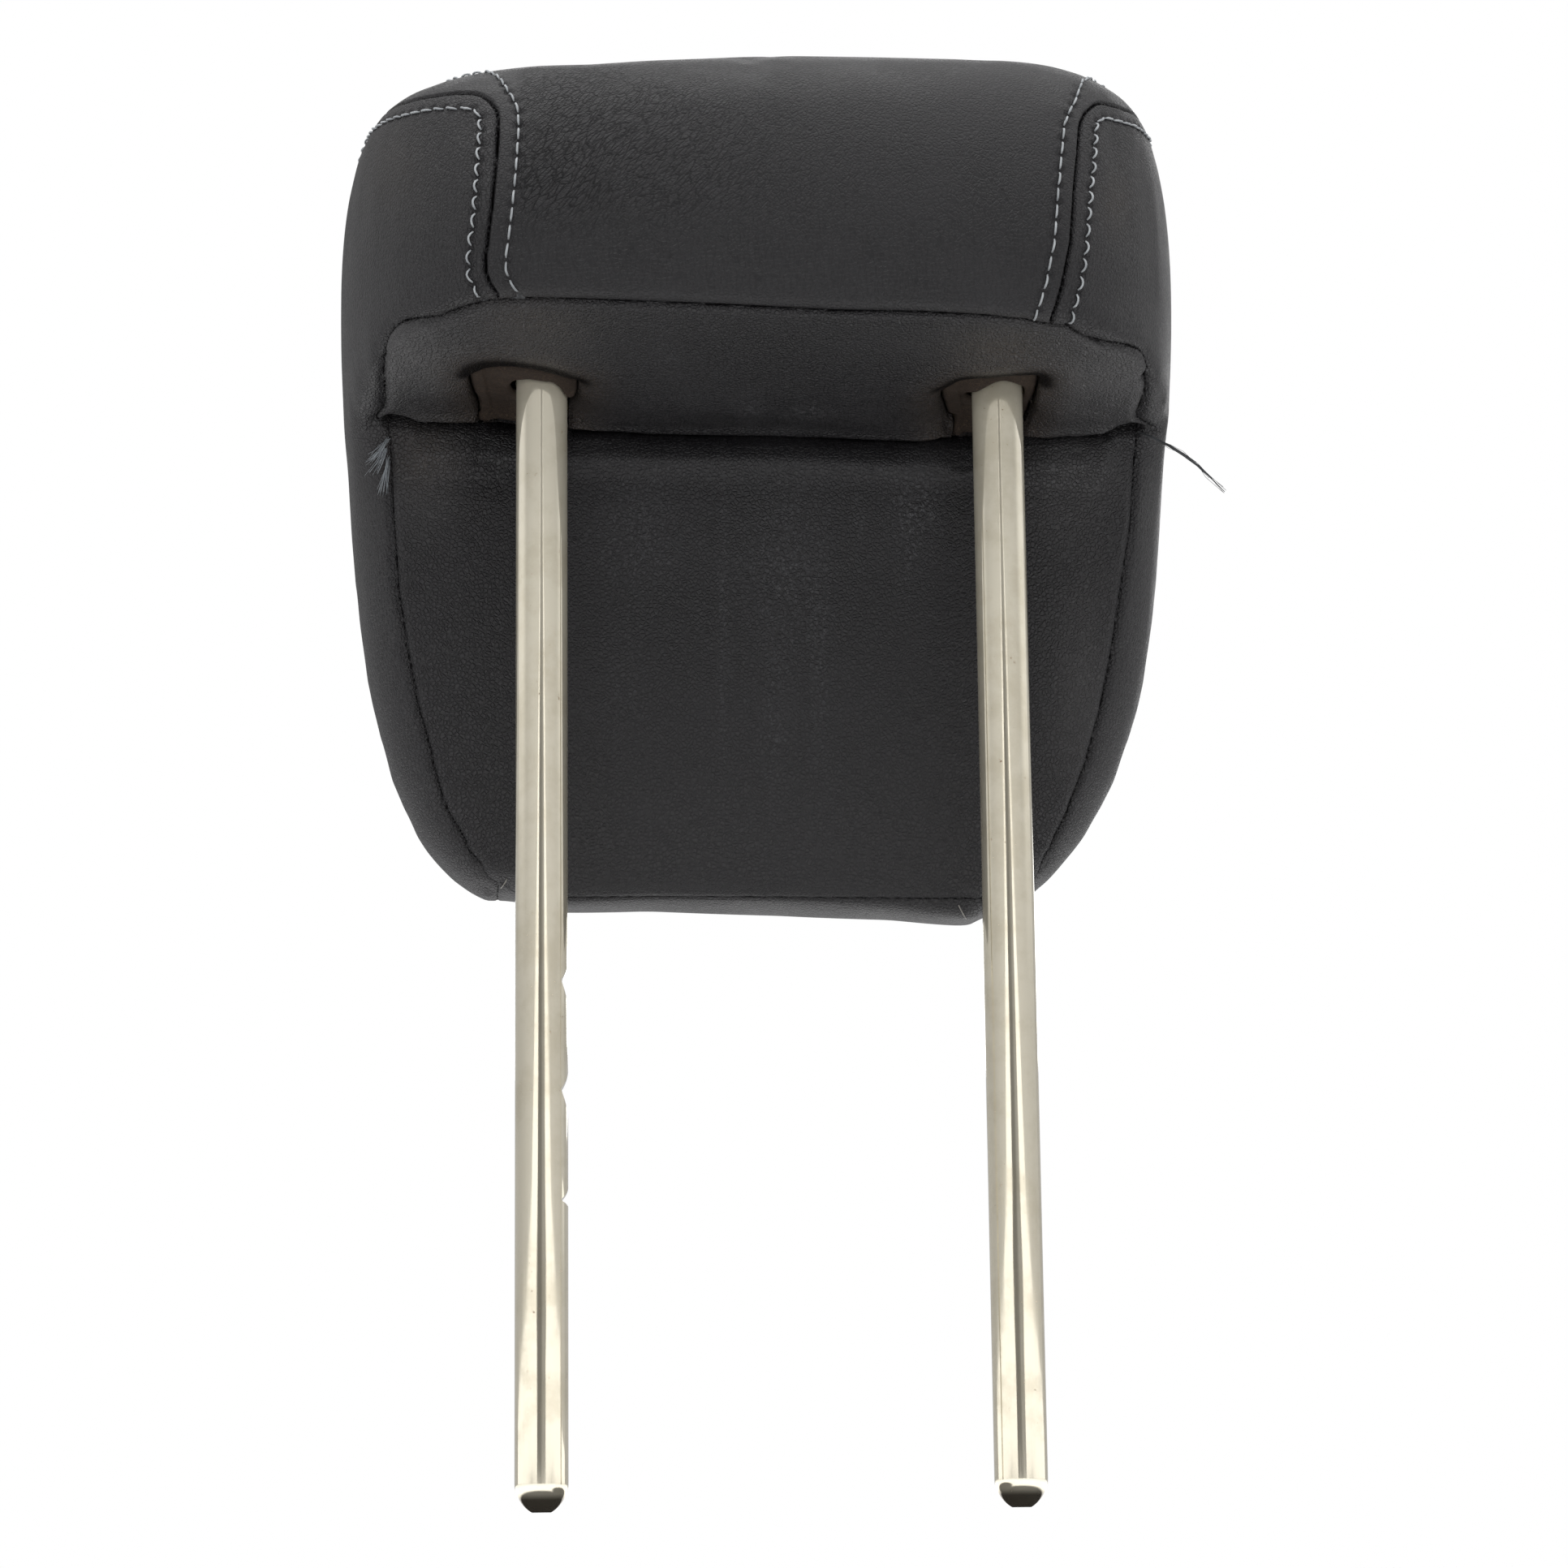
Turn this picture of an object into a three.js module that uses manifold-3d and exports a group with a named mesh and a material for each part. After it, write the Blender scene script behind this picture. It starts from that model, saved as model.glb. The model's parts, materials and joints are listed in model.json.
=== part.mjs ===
// Rear-seat car headrest, L-shaped, in black leather on two plated steel posts.
// Millimetres, +Z up along the posts, +Y towards the passenger's head, +X to the right as seen
// from behind. The origin lies midway between the two post tips.
import * as THREE from "three";
import * as BufferGeometryUtils from "three/addons/utils/BufferGeometryUtils.js";
import Module from "manifold-3d";

const wasm = await Module();
wasm.setup();

// Fits
const fitGap = 0.4; // between a piece and what it sits in
const foamGap = 0.6; // between the foam and the cover
const seamGap = 0.3; // between two cover panels at a seam
const overcut = 4; // how far a cutter runs past what it cuts

// Posts: one round bar, bent into a U
const postDiameter = 14;
const postSpacing = 125;
const postReach = 294; // tips to the crease where the flap begins
const crossbarRise = 58; // crease to the crossbar's centre
const postBendRadius = 28;
const tipFlatRadius = 3.4;
const tipRounding = 6;
const postSides = 24;

// Height notches, on the inner side of the left post
const notchTopZ = 138.5;
const notchPitch = 29;
const notchDepth = 1.9;
const notchUpperRun = 3.8; // the short convex side above a notch
const notchLowerRun = 7.6; // the long ramp below it
const stopUpperRun = 3.4;
const stopLedge = 1.9; // the square removal stop, lowest of the three

// Head: heights from the crease, depths from the posts' plane
const headRise = 99.5; // crease to the crown
const flapDrop = 130.5; // crease to the bottom of the flap
const undersideRise = 16.5; // crease to the seam under the rear face
const undersideBulge = 2.8;
const creaseArc = 4.5; // the crease's ends lie this much higher than its middle
const rearSeamTilt = 3.4; // and the rear seam's left end this much higher than its middle
const sagReach = 55; // height over which the two fade out
const creaseY = 22;
const rearSeamY = -46;
const rearBulge = 5;
const rearBulgeRise = 18; // seam under the rear face to where it stands out most
const rearCrown = 4;
const crownY = 10;
const crownFlatDepth = 26;
const frontY = 89;
const frontCrown = 7;
const frontLean = 132; // crown down to where the front stands out most
const flapRearLowY = 46; // back of the flap, just above its bottom
const flapBottomY = 60;
const flapBottomDepth = 13;
const flapBottomRounding = 15;
const flapFrontRounding = 45;

// Head: widths
const headWidth = 236;
const crownFlatWidth = 140;
const flapFlatWidth = 100;
const widestRise = 33; // crease to the widest level
const rearFlatShare = 0.56; // flat part of the block's rear face, of its half width
const flapFlatShare = 0.82;
const frontFlatShare = 0.5;
const widestLowY = 64; // where the sides stand out most, at the flap's bottom
const widestHighY = 46; // and at the crown

// Fullness of the rounded corners, as exponents of a superellipse
const crownFullness = 3.3;
const flapFullness = 2.65;
const profileFullness = 2.2;
const blockPlanFullness = 2.15;
const flapPlanFullness = 2.1;
const frontPlanFullness = 2.3;

// Cover
const leatherThickness = 1.8;
const seamLeftTopX = -76.8;
const seamLeftLowX = -74.5;
const seamRightTopX = 84;
const seamRightLowX = 72.5;
const shoulderRearDrop = 22.5; // crown down to the seam's corner at the rear
const shoulderSideDrop = 12; // and to the seam where it passes over the side
const shoulderSideY = 15;
const frontSeamSetback = 9; // perimeter seam of the front panel, ahead of the widest line
const undersideHalfWidth = 105.5;
const undersideCornerRadius = 13;
const flapInset = 16; // seam of the flap's rear panel, in from the outline
const flapSeamRise = 8; // its lower seam, above the flap's bottom
const flapSeamHalfWidth = 62; // half length of that lower seam
const tapeWidth = 15;
const tapeThickness = 0.6;

// Slots in the underside
const slotRearWidth = 30;
const slotFrontWidth = 23;
const slotRearY = -13;
const slotFrontY = 20;
const slotOffset = -3; // of both slots, sideways from the posts
const linerWall = 1.6;
const linerRecess = 1.2;

// Inner carrier
const carrierHalfWidth = 88;
const carrierHalfDepth = 17;
const carrierBottomRise = 23;
const carrierTopRise = 80;
const carrierWall = 2.5;
const carrierCornerRadius = 10;
const saddleHalfWidth = 11;
const bossRadius = 4.8;
const bossInsetX = 8.5;
const bossInsetZ = 8.5;
const lowerBossX = 38;
const screwHeadRadius = 3.6;
const screwHeadHeight = 2.2;
const screwShankRadius = 1.8;
const screwLength = 27;

// Closing strips, two plastic hooks that hold the cover shut in the crease
const stripHalfLength = 95;
const stripWall = 1.6;
const stripWidth = 6.2;
const stripLeg = 10;
const stripHook = 4;
const stripSetback = 4.4;

const postX = postSpacing / 2;
const postRadius = postDiameter / 2;
const creaseZ = postReach;
const crownZ = creaseZ + headRise;
const flapBottomZ = creaseZ - flapDrop;
const rearSeamZ = creaseZ + undersideRise;
const halfWidth = headWidth / 2;
const reach = headWidth; // longer than any piece that a cutter meets

// The bulge of one rounded corner: 0 at its edge, 1 where it has come out fully.
function roundedOut(share, fullness) {
  const inner = Math.pow(1 - THREE.MathUtils.clamp(share, 0, 1), fullness);
  return Math.pow(1 - inner, 1 / fullness);
}

// Half width of the head at a height.
function sideX(z) {
  const widestZ = creaseZ + widestRise;
  if (z > widestZ) {
    const out = roundedOut((crownZ - z) / (crownZ - widestZ), crownFullness);
    return THREE.MathUtils.lerp(crownFlatWidth / 2, halfWidth, out);
  }
  const out = roundedOut((z - flapBottomZ) / (widestZ - flapBottomZ), flapFullness);
  return THREE.MathUtils.lerp(flapFlatWidth / 2, halfWidth, out);
}

// Front of the head at a height.
function faceY(z) {
  const top = roundedOut((crownZ - z) / frontLean, profileFullness);
  const bottom = roundedOut((z - flapBottomZ) / flapFrontRounding, profileFullness);
  const upper = THREE.MathUtils.lerp(crownY + crownFlatDepth / 2, frontY, top);
  const lower = THREE.MathUtils.lerp(flapBottomY + flapBottomDepth / 2, frontY, bottom);
  return Math.min(upper, lower);
}

// Rear face of the thick upper block at a height.
function blockRearY(z) {
  const bulgeZ = rearSeamZ + rearBulgeRise;
  const bulgeY = rearSeamY - rearBulge;
  if (z > bulgeZ) {
    const out = roundedOut((crownZ - z) / (crownZ - bulgeZ), profileFullness);
    return THREE.MathUtils.lerp(crownY - crownFlatDepth / 2, bulgeY, out);
  }
  const under = (bulgeZ - z) / rearBulgeRise;
  return bulgeY + rearBulge * Math.min(under * under, 1);
}

// The underside's depth at a height between the crease and the rear seam.
function undersideY(z) {
  const straight = undersideRise - 4 * undersideBulge;
  const climb = Math.max(z - creaseZ, 0);
  const root = Math.sqrt(straight * straight + 16 * undersideBulge * climb);
  const share = (root - straight) / (8 * undersideBulge);
  return THREE.MathUtils.lerp(creaseY, rearSeamY, share);
}

// Back of the flap at a height below the crease.
function flapRearY(z) {
  const share = (creaseZ - z) / flapDrop;
  const straight = THREE.MathUtils.lerp(creaseY, flapRearLowY, share);
  const out = roundedOut((z - flapBottomZ) / flapBottomRounding, 2);
  return straight + (flapBottomY - flapBottomDepth / 2 - flapRearLowY) * (1 - out);
}

// How far back the head reaches at a height.
function backLimitY(z) {
  return z > creaseZ ? undersideY(z) : flapRearY(z);
}

// Where the sides stand out most at a height.
function widestY(z) {
  const share = THREE.MathUtils.clamp((z - flapBottomZ) / (crownZ - flapBottomZ), 0, 1);
  return THREE.MathUtils.lerp(widestLowY, widestHighY, share);
}

// How much the cover is drawn up or down at a place, with all that lies under it.
function sag(x, y, z) {
  const fade = Math.max(1 - Math.abs(z - creaseZ) / sagReach, 0);
  const across = x / undersideHalfWidth;
  const rearward = THREE.MathUtils.clamp((creaseY - y) / (creaseY - rearSeamY), 0, 1);
  return fade * (creaseArc * across * across - rearSeamTilt * across * rearward);
}

// A value of the outer form, moved in by the depth of a layer below the surface.
function inward(shape, z, depth, sign) {
  const values = [shape(z) + sign * depth, shape(z + depth), shape(z - depth)];
  return sign > 0 ? Math.max(...values) : Math.min(...values);
}

const ringStepsFlat = 2;
const ringStepsCorner = 7;
const sideMargin = 0.3; // least share of the depth on either side of the widest line

// One quarter of a level's outline, from the middle line to the side, in shares of the width
// and of the depth.
function quarterPlan(flatShare, fullness) {
  const points = [];
  for (let step = 0; step < ringStepsFlat; step += 1) {
    points.push([(flatShare * step) / ringStepsFlat, 1]);
  }
  for (let step = 0; step <= ringStepsCorner; step += 1) {
    const angle = (Math.PI / 2) * (step / ringStepsCorner);
    const across = Math.pow(Math.sin(angle), 2 / fullness);
    const back = Math.pow(Math.cos(angle), 2 / fullness);
    points.push([flatShare + (1 - flatShare) * across, back]);
  }
  points[points.length - 1] = [1, 0];
  return points;
}

const blockPlan = quarterPlan(rearFlatShare, blockPlanFullness);
const flapPlan = quarterPlan(flapFlatShare, flapPlanFullness);
const frontPlan = quarterPlan(frontFlatShare, frontPlanFullness);

// The head's outline at one height, a layer of the given depth below its surface.
function ringAt(z, depth) {
  const side = inward(sideX, z, depth, -1);
  const face = inward(faceY, z, depth, -1);
  const limit = inward(backLimitY, z, depth, 1);
  const back = Math.max(inward(blockRearY, z, depth, 1), limit);
  const margin = sideMargin * (face - back);
  const middle = THREE.MathUtils.clamp(widestY(z), back + margin, face - margin);
  const blockShare = THREE.MathUtils.smoothstep(z, creaseZ - 0.12 * flapDrop, creaseZ);
  const blockRear = inward(blockRearY, z, depth, 1);
  const rearHalf = blockPlan.map(([blockAcross, blockBack], index) => {
    const [flapAcross, flapBack] = flapPlan[index];
    const across = THREE.MathUtils.lerp(flapAcross, blockAcross, blockShare);
    const blockY = middle + (blockRear - middle) * blockBack + rearCrown * across * across;
    const flapY = middle + (limit - middle) * flapBack;
    const y = THREE.MathUtils.lerp(flapY, Math.max(blockY, limit), blockShare);
    return [across * side, Math.min(y, middle)];
  });
  const frontHalf = frontPlan.map(([across, forward]) => {
    const y = middle + (face - middle) * forward - frontCrown * across * across * forward;
    return [across * side, y];
  });
  const right = [...rearHalf, ...frontHalf.slice(0, -1).reverse()];
  const left = right.slice(1, -1).reverse();
  const outline = [...right, ...left.map(([x, y]) => [-x, y])];
  return outline.map(([x, y]) => new THREE.Vector3(x, y, z + sag(x, y, z)));
}

// Heights of the outlines, closer together where the form turns.
const flapShares = [0, 0.012, 0.04, 0.09, 0.17, 0.3, 0.48, 0.66, 0.82, 0.92, 1];
const undersideShares = [0.05, 0.17, 0.34, 0.55, 0.78, 1, 1.06];
const blockShares = [0.22, 0.4, 0.56, 0.69, 0.79, 0.87, 0.93, 0.97, 0.992, 1];

function levelsOf(depth) {
  const bottom = flapBottomZ + depth;
  const top = crownZ - depth;
  const crease = creaseZ + depth * 0.6;
  const flap = flapShares.map((share) => THREE.MathUtils.lerp(bottom, crease, share));
  const under = undersideShares.map((share) => crease + undersideRise * share);
  const block = blockShares.map((share) => THREE.MathUtils.lerp(rearSeamZ + depth, top, share));
  return [...flap, ...under, ...block];
}

// A closed surface through rings of equally many points, with a flat cap on each end.
function skinThrough(rings) {
  const count = rings[0].length;
  const positions = [];
  const indices = [];
  rings.forEach((ring) => ring.forEach((point) => positions.push(point.x, point.y, point.z)));
  for (let level = 0; level < rings.length - 1; level += 1) {
    for (let index = 0; index < count; index += 1) {
      const next = (index + 1) % count;
      const a = level * count + index;
      const b = level * count + next;
      indices.push(a, b, a + count, b, b + count, a + count);
    }
  }
  [0, rings.length - 1].forEach((level) => {
    const middle = new THREE.Vector3();
    rings[level].forEach((point) => middle.addScaledVector(point, 1 / count));
    const hub = positions.length / 3;
    positions.push(middle.x, middle.y, middle.z);
    for (let index = 0; index < count; index += 1) {
      const a = level * count + index;
      const b = level * count + ((index + 1) % count);
      indices.push(...(level === 0 ? [b, a, hub] : [a, b, hub]));
    }
  });
  const geometry = new THREE.BufferGeometry();
  geometry.setAttribute("position", new THREE.Float32BufferAttribute(positions, 3));
  geometry.setIndex(indices);
  return geometry;
}

// A solid that can be cut and joined, from a closed geometry.
function solidOf(geometry) {
  const bare = geometry.clone();
  bare.deleteAttribute("normal");
  bare.deleteAttribute("uv");
  const merged = BufferGeometryUtils.mergeVertices(bare, 1e-4);
  const vertProperties = new Float32Array(merged.attributes.position.array);
  const triVerts = new Uint32Array(merged.index.array);
  return new wasm.Manifold(new wasm.Mesh({ numProp: 3, vertProperties, triVerts }));
}

// The largest connected piece of a cut solid.
function largestPiece(solid) {
  const pieces = solid.decompose();
  return pieces.reduce((best, piece) => (piece.volume() > best.volume() ? piece : best));
}

function geometryOf(solid) {
  const { vertProperties, triVerts } = solid.getMesh();
  const geometry = new THREE.BufferGeometry();
  geometry.setAttribute("position", new THREE.Float32BufferAttribute(vertProperties, 3));
  geometry.setIndex(Array.from(triVerts));
  geometry.computeVertexNormals();
  return geometry;
}

function headSolid(depth) {
  return solidOf(skinThrough(levelsOf(depth).map((z) => ringAt(z, depth))));
}

// A straight bar with the outline given in X and Z, from one depth to another.
function prismAlongY(outline, fromY, toY, curveSegments = 5) {
  const geometry = new THREE.ExtrudeGeometry(outline, {
    depth: toY - fromY,
    bevelEnabled: false,
    curveSegments,
  });
  geometry.rotateX(Math.PI / 2);
  geometry.translate(0, toY, 0);
  return solidOf(geometry);
}

// A straight bar with the outline given in Y and Z, from one side to the other.
function prismAlongX(outline, fromX, toX) {
  const geometry = new THREE.ExtrudeGeometry(outline, {
    depth: toX - fromX,
    bevelEnabled: false,
    curveSegments: 8,
  });
  geometry.rotateY(Math.PI / 2);
  geometry.rotateX(Math.PI / 2);
  geometry.translate(fromX, 0, 0);
  return solidOf(geometry);
}

// A straight bar with the outline given in X and Y, from one height to another.
function prismAlongZ(outline, fromZ, toZ) {
  const geometry = new THREE.ExtrudeGeometry(outline, {
    depth: toZ - fromZ,
    bevelEnabled: false,
    curveSegments: 6,
  });
  geometry.translate(0, 0, fromZ);
  return solidOf(geometry);
}

function polygon(points) {
  return new THREE.Shape(points.map(([across, up]) => new THREE.Vector2(across, up)));
}

function rectangle(left, low, right, high) {
  return polygon([
    [left, low],
    [right, low],
    [right, high],
    [left, high],
  ]);
}

function roundedRectangle(left, low, right, high, radius) {
  const shape = new THREE.Shape();
  shape.moveTo(left + radius, low);
  shape.lineTo(right - radius, low);
  shape.absarc(right - radius, low + radius, radius, -Math.PI / 2, 0, false);
  shape.lineTo(right, high - radius);
  shape.absarc(right - radius, high - radius, radius, 0, Math.PI / 2, false);
  shape.lineTo(left + radius, high);
  shape.absarc(left + radius, high - radius, radius, Math.PI / 2, Math.PI, false);
  shape.lineTo(left, low + radius);
  shape.absarc(left + radius, low + radius, radius, Math.PI, 1.5 * Math.PI, false);
  return shape;
}

// The bent bar, from the left tip up, across and down to the right tip. Each station is a
// point of its centre line and the direction in which it runs there.
function barStations() {
  const crossbarZ = creaseZ + crossbarRise;
  const bendX = postX - postBendRadius;
  const bendZ = crossbarZ - postBendRadius;
  const bendSteps = 5;
  const stations = [{ x: -postX, z: 0, heading: Math.PI / 2 }];
  [-1, 1].forEach((sign) => {
    for (let step = 0; step <= bendSteps; step += 1) {
      const turn = (Math.PI / 2) * (step / bendSteps);
      const heading = (sign < 0 ? Math.PI / 2 : 0) - turn;
      const x = sign * bendX - postBendRadius * Math.sin(heading);
      const z = bendZ + postBendRadius * Math.cos(heading);
      stations.push({ x, z, heading });
    }
  });
  stations.push({ x: postX, z: 0, heading: -Math.PI / 2 });
  return stations;
}

function barSolid(radius) {
  const rings = barStations().map(({ x, z, heading }) => {
    const outward = new THREE.Vector3(-Math.sin(heading), 0, Math.cos(heading));
    const points = [];
    for (let side = 0; side < postSides; side += 1) {
      const angle = (2 * Math.PI * side) / postSides;
      const point = new THREE.Vector3(x, -radius * Math.sin(angle), z);
      points.push(point.addScaledVector(outward, radius * Math.cos(angle)));
    }
    return points;
  });
  return solidOf(skinThrough(rings));
}

// What the rounding takes off one tip.
function tipCutter() {
  const profile = [new THREE.Vector2(tipFlatRadius, -overcut)];
  const steps = 6;
  for (let step = 0; step <= steps; step += 1) {
    const angle = (Math.PI / 2) * (step / steps);
    const radius = tipFlatRadius + (postRadius + 0.02 - tipFlatRadius) * Math.sin(angle);
    profile.push(new THREE.Vector2(radius, tipRounding * (1 - Math.cos(angle))));
  }
  profile.push(new THREE.Vector2(postRadius + overcut, tipRounding));
  profile.push(new THREE.Vector2(postRadius + overcut, -overcut));
  profile.push(profile[0].clone());
  const geometry = new THREE.LatheGeometry(profile.reverse(), postSides);
  geometry.rotateX(Math.PI / 2);
  return solidOf(geometry);
}

// One notch on the inner side of the left post, cut across the whole bar.
function notchCutter(deepZ, upperRun, lowerRun) {
  const face = -postX + postRadius;
  const outline = new THREE.Shape();
  outline.moveTo(face + overcut, deepZ + upperRun);
  outline.lineTo(face + 0.01, deepZ + upperRun);
  outline.quadraticCurveTo(face - 0.1, deepZ, face - notchDepth, deepZ);
  outline.lineTo(face + 0.01, deepZ - lowerRun);
  outline.lineTo(face + overcut, deepZ - lowerRun);
  return prismAlongY(outline, -postDiameter, postDiameter);
}

function postFrame() {
  const tip = tipCutter();
  let bar = barSolid(postRadius);
  bar = bar.subtract(tip.translate([-postX, 0, 0])).subtract(tip.translate([postX, 0, 0]));
  bar = bar.subtract(notchCutter(notchTopZ, notchUpperRun, notchLowerRun));
  bar = bar.subtract(notchCutter(notchTopZ - notchPitch, notchUpperRun, notchLowerRun));
  return bar.subtract(notchCutter(notchTopZ - 2 * notchPitch, stopUpperRun, stopLedge));
}

// Inner carrier: two trays that close round the bar in the posts' plane
const carrierLowZ = creaseZ + carrierBottomRise;
const carrierHighZ = creaseZ + carrierTopRise;
const bossPlaces = [
  [-carrierHalfWidth + bossInsetX, carrierHighZ - bossInsetZ],
  [carrierHalfWidth - bossInsetX, carrierHighZ - bossInsetZ],
  [-lowerBossX, carrierLowZ + bossInsetZ],
  [lowerBossX, carrierLowZ + bossInsetZ],
];

function carrierOutline(grow) {
  return roundedRectangle(
    -carrierHalfWidth - grow,
    carrierLowZ - grow,
    carrierHalfWidth + grow,
    carrierHighZ + grow,
    carrierCornerRadius + grow,
  );
}

function cylinderAlongY(radius, x, z, fromY, toY) {
  const geometry = new THREE.CylinderGeometry(radius, radius, toY - fromY, 10);
  geometry.translate(x, (fromY + toY) / 2, z);
  return solidOf(geometry);
}

// One half of the carrier, on the side given by its sign: 1 for the front, -1 for the rear.
function carrierHalf(sign) {
  const between = (a, b) => [Math.min(a * sign, b * sign), Math.max(a * sign, b * sign)];
  const parting = seamGap / 2;
  const floor = carrierHalfDepth - carrierWall;
  const crossbarZ = creaseZ + crossbarRise;
  let half = prismAlongY(carrierOutline(0), ...between(parting, carrierHalfDepth));
  half = half.subtract(prismAlongY(carrierOutline(-carrierWall), ...between(-overcut, floor)));
  const saddleHighZ = crossbarZ + saddleHalfWidth;
  const outer = postX + saddleHalfWidth;
  const inner = postX - saddleHalfWidth;
  let saddle = prismAlongY(
    rectangle(-outer, carrierLowZ + carrierWall / 2, outer, saddleHighZ),
    ...between(parting, floor + carrierWall / 2),
  );
  saddle = saddle.subtract(
    prismAlongY(
      rectangle(-inner, carrierLowZ - overcut, inner, crossbarZ - saddleHalfWidth),
      ...between(-overcut, carrierHalfDepth + overcut),
    ),
  );
  half = half.add(saddle);
  bossPlaces.forEach(([x, z]) => {
    half = half.add(
      cylinderAlongY(bossRadius, x, z, ...between(parting, floor + carrierWall / 2)),
    );
  });
  half = half.subtract(barSolid(postRadius + fitGap));
  bossPlaces.forEach(([x, z]) => {
    const hole = screwShankRadius + fitGap;
    const depth = sign > 0 ? screwLength - carrierHalfDepth + fitGap : carrierHalfDepth + overcut;
    half = half.subtract(cylinderAlongY(hole, x, z, ...between(-overcut, depth)));
    if (sign < 0) {
      const sunk = screwHeadRadius + fitGap;
      const seat = carrierHalfDepth - screwHeadHeight - fitGap;
      half = half.subtract(
        cylinderAlongY(sunk, x, z, ...between(seat, carrierHalfDepth + overcut)),
      );
    }
  });
  return half;
}

function carrierScrew([x, z]) {
  const headY = -carrierHalfDepth + fitGap / 2;
  const tipY = headY + screwLength - fitGap;
  const driveRadius = 1.5;
  const driveDepth = 1.2;
  const profile = [
    new THREE.Vector2(0, driveDepth),
    new THREE.Vector2(driveRadius, driveDepth),
    new THREE.Vector2(driveRadius, 0),
    new THREE.Vector2(screwHeadRadius, 0),
    new THREE.Vector2(screwHeadRadius, screwHeadHeight - 0.2),
    new THREE.Vector2(screwShankRadius, screwHeadHeight),
    new THREE.Vector2(screwShankRadius, tipY - headY - 2),
    new THREE.Vector2(0, tipY - headY),
  ];
  const geometry = new THREE.LatheGeometry(profile, 10);
  geometry.translate(x, headY, z);
  return solidOf(geometry);
}

// Slots: a trapezium in plan, wider at the rear
function slotOutline(postSide, grow) {
  const middle = postSide * postX + slotOffset;
  const rear = slotRearWidth / 2 + grow;
  const front = slotFrontWidth / 2 + grow;
  return polygon([
    [middle - rear, slotRearY - grow],
    [middle + rear, slotRearY - grow],
    [middle + front, slotFrontY + grow],
    [middle - front, slotFrontY + grow],
  ]);
}

function slotLiner(postSide, recessedHead) {
  const top = carrierLowZ - fitGap;
  const low = creaseZ - overcut;
  const wall = prismAlongZ(slotOutline(postSide, 0), low, top);
  const inside = prismAlongZ(slotOutline(postSide, -linerWall), low - overcut, top + overcut);
  return largestPiece(wall.subtract(inside).intersect(recessedHead));
}

function slotCut(postSide, grow) {
  return prismAlongZ(slotOutline(postSide, grow), creaseZ - reach / 2, carrierLowZ);
}

// Regions of the cover's panels. Each takes a grow value, so that its neighbour can keep the
// seam's gap.
function frontRegion(grow) {
  const lowSeamY = widestLowY + frontSeamSetback - grow;
  const highSeamY = widestHighY + frontSeamSetback - grow;
  const outline = polygon([
    [lowSeamY, flapBottomZ - overcut],
    [reach, flapBottomZ - overcut],
    [reach, crownZ + overcut],
    [highSeamY, crownZ + overcut],
  ]);
  return prismAlongX(outline, -reach, reach);
}

function undersideRegion(grow) {
  const half = undersideHalfWidth + grow;
  const high = rearSeamZ + grow;
  const radius = undersideCornerRadius + grow;
  const steps = 8;
  const points = [];
  for (let step = 0; step <= steps; step += 1) {
    const x = THREE.MathUtils.lerp(-half, half, step / steps);
    points.push([x, creaseZ - grow + sag(x, creaseY, creaseZ)]);
  }
  [1, -1].forEach((side) => {
    for (let step = 0; step <= steps; step += 1) {
      const share = side > 0 ? step / steps : 1 - step / steps;
      const angle = (Math.PI / 2) * share;
      const x = side * (half - radius + radius * Math.cos(angle));
      const z = high - radius + radius * Math.sin(angle);
      points.push([x, z + sag(x, rearSeamY, z)]);
    }
  });
  const backing = leatherThickness + 0.2;
  return prismAlongY(polygon(points), -reach, creaseY + backing + grow);
}

// The flap's rear panel follows the outline of the head, set in from it.
function flapRearRegion(grow) {
  const lowZ = flapBottomZ + flapSeamRise - grow;
  const highZ = creaseZ + grow;
  const steps = 9;
  const right = [];
  for (let step = 0; step <= steps; step += 1) {
    const z = THREE.MathUtils.lerp(lowZ, highZ, Math.pow(step / steps, 1.6));
    const out = roundedOut((z - lowZ) / (highZ - lowZ), flapFullness);
    const seamHigh = sideX(highZ) - flapInset + grow;
    const x = THREE.MathUtils.lerp(flapSeamHalfWidth + grow, seamHigh, out);
    right.push([x, z + sag(x, creaseY, z)]);
  }
  const top = [0.75, 0.5, 0.25, 0].map((share) => {
    const x = share * right[right.length - 1][0];
    return [x, highZ + sag(x, creaseY, highZ)];
  });
  const half = [...right, ...top];
  const left = half.slice(0, -1).map(([x, z]) => [-x, z]).reverse();
  return prismAlongY(polygon([...half, ...left]), -reach, widestHighY + overcut);
}

function bottomRegion(grow) {
  const half = flapSeamHalfWidth + grow;
  const high = flapBottomZ + flapSeamRise + grow;
  return prismAlongY(rectangle(-half, flapBottomZ - overcut, half, high), -reach, reach);
}

function seamLineX(sign, z) {
  const share = THREE.MathUtils.clamp((z - rearSeamZ) / (headRise - undersideRise), 0, 1);
  const [low, top] = sign < 0 ? [seamLeftLowX, seamLeftTopX] : [seamRightLowX, seamRightTopX];
  return THREE.MathUtils.lerp(low, top, share);
}

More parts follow.
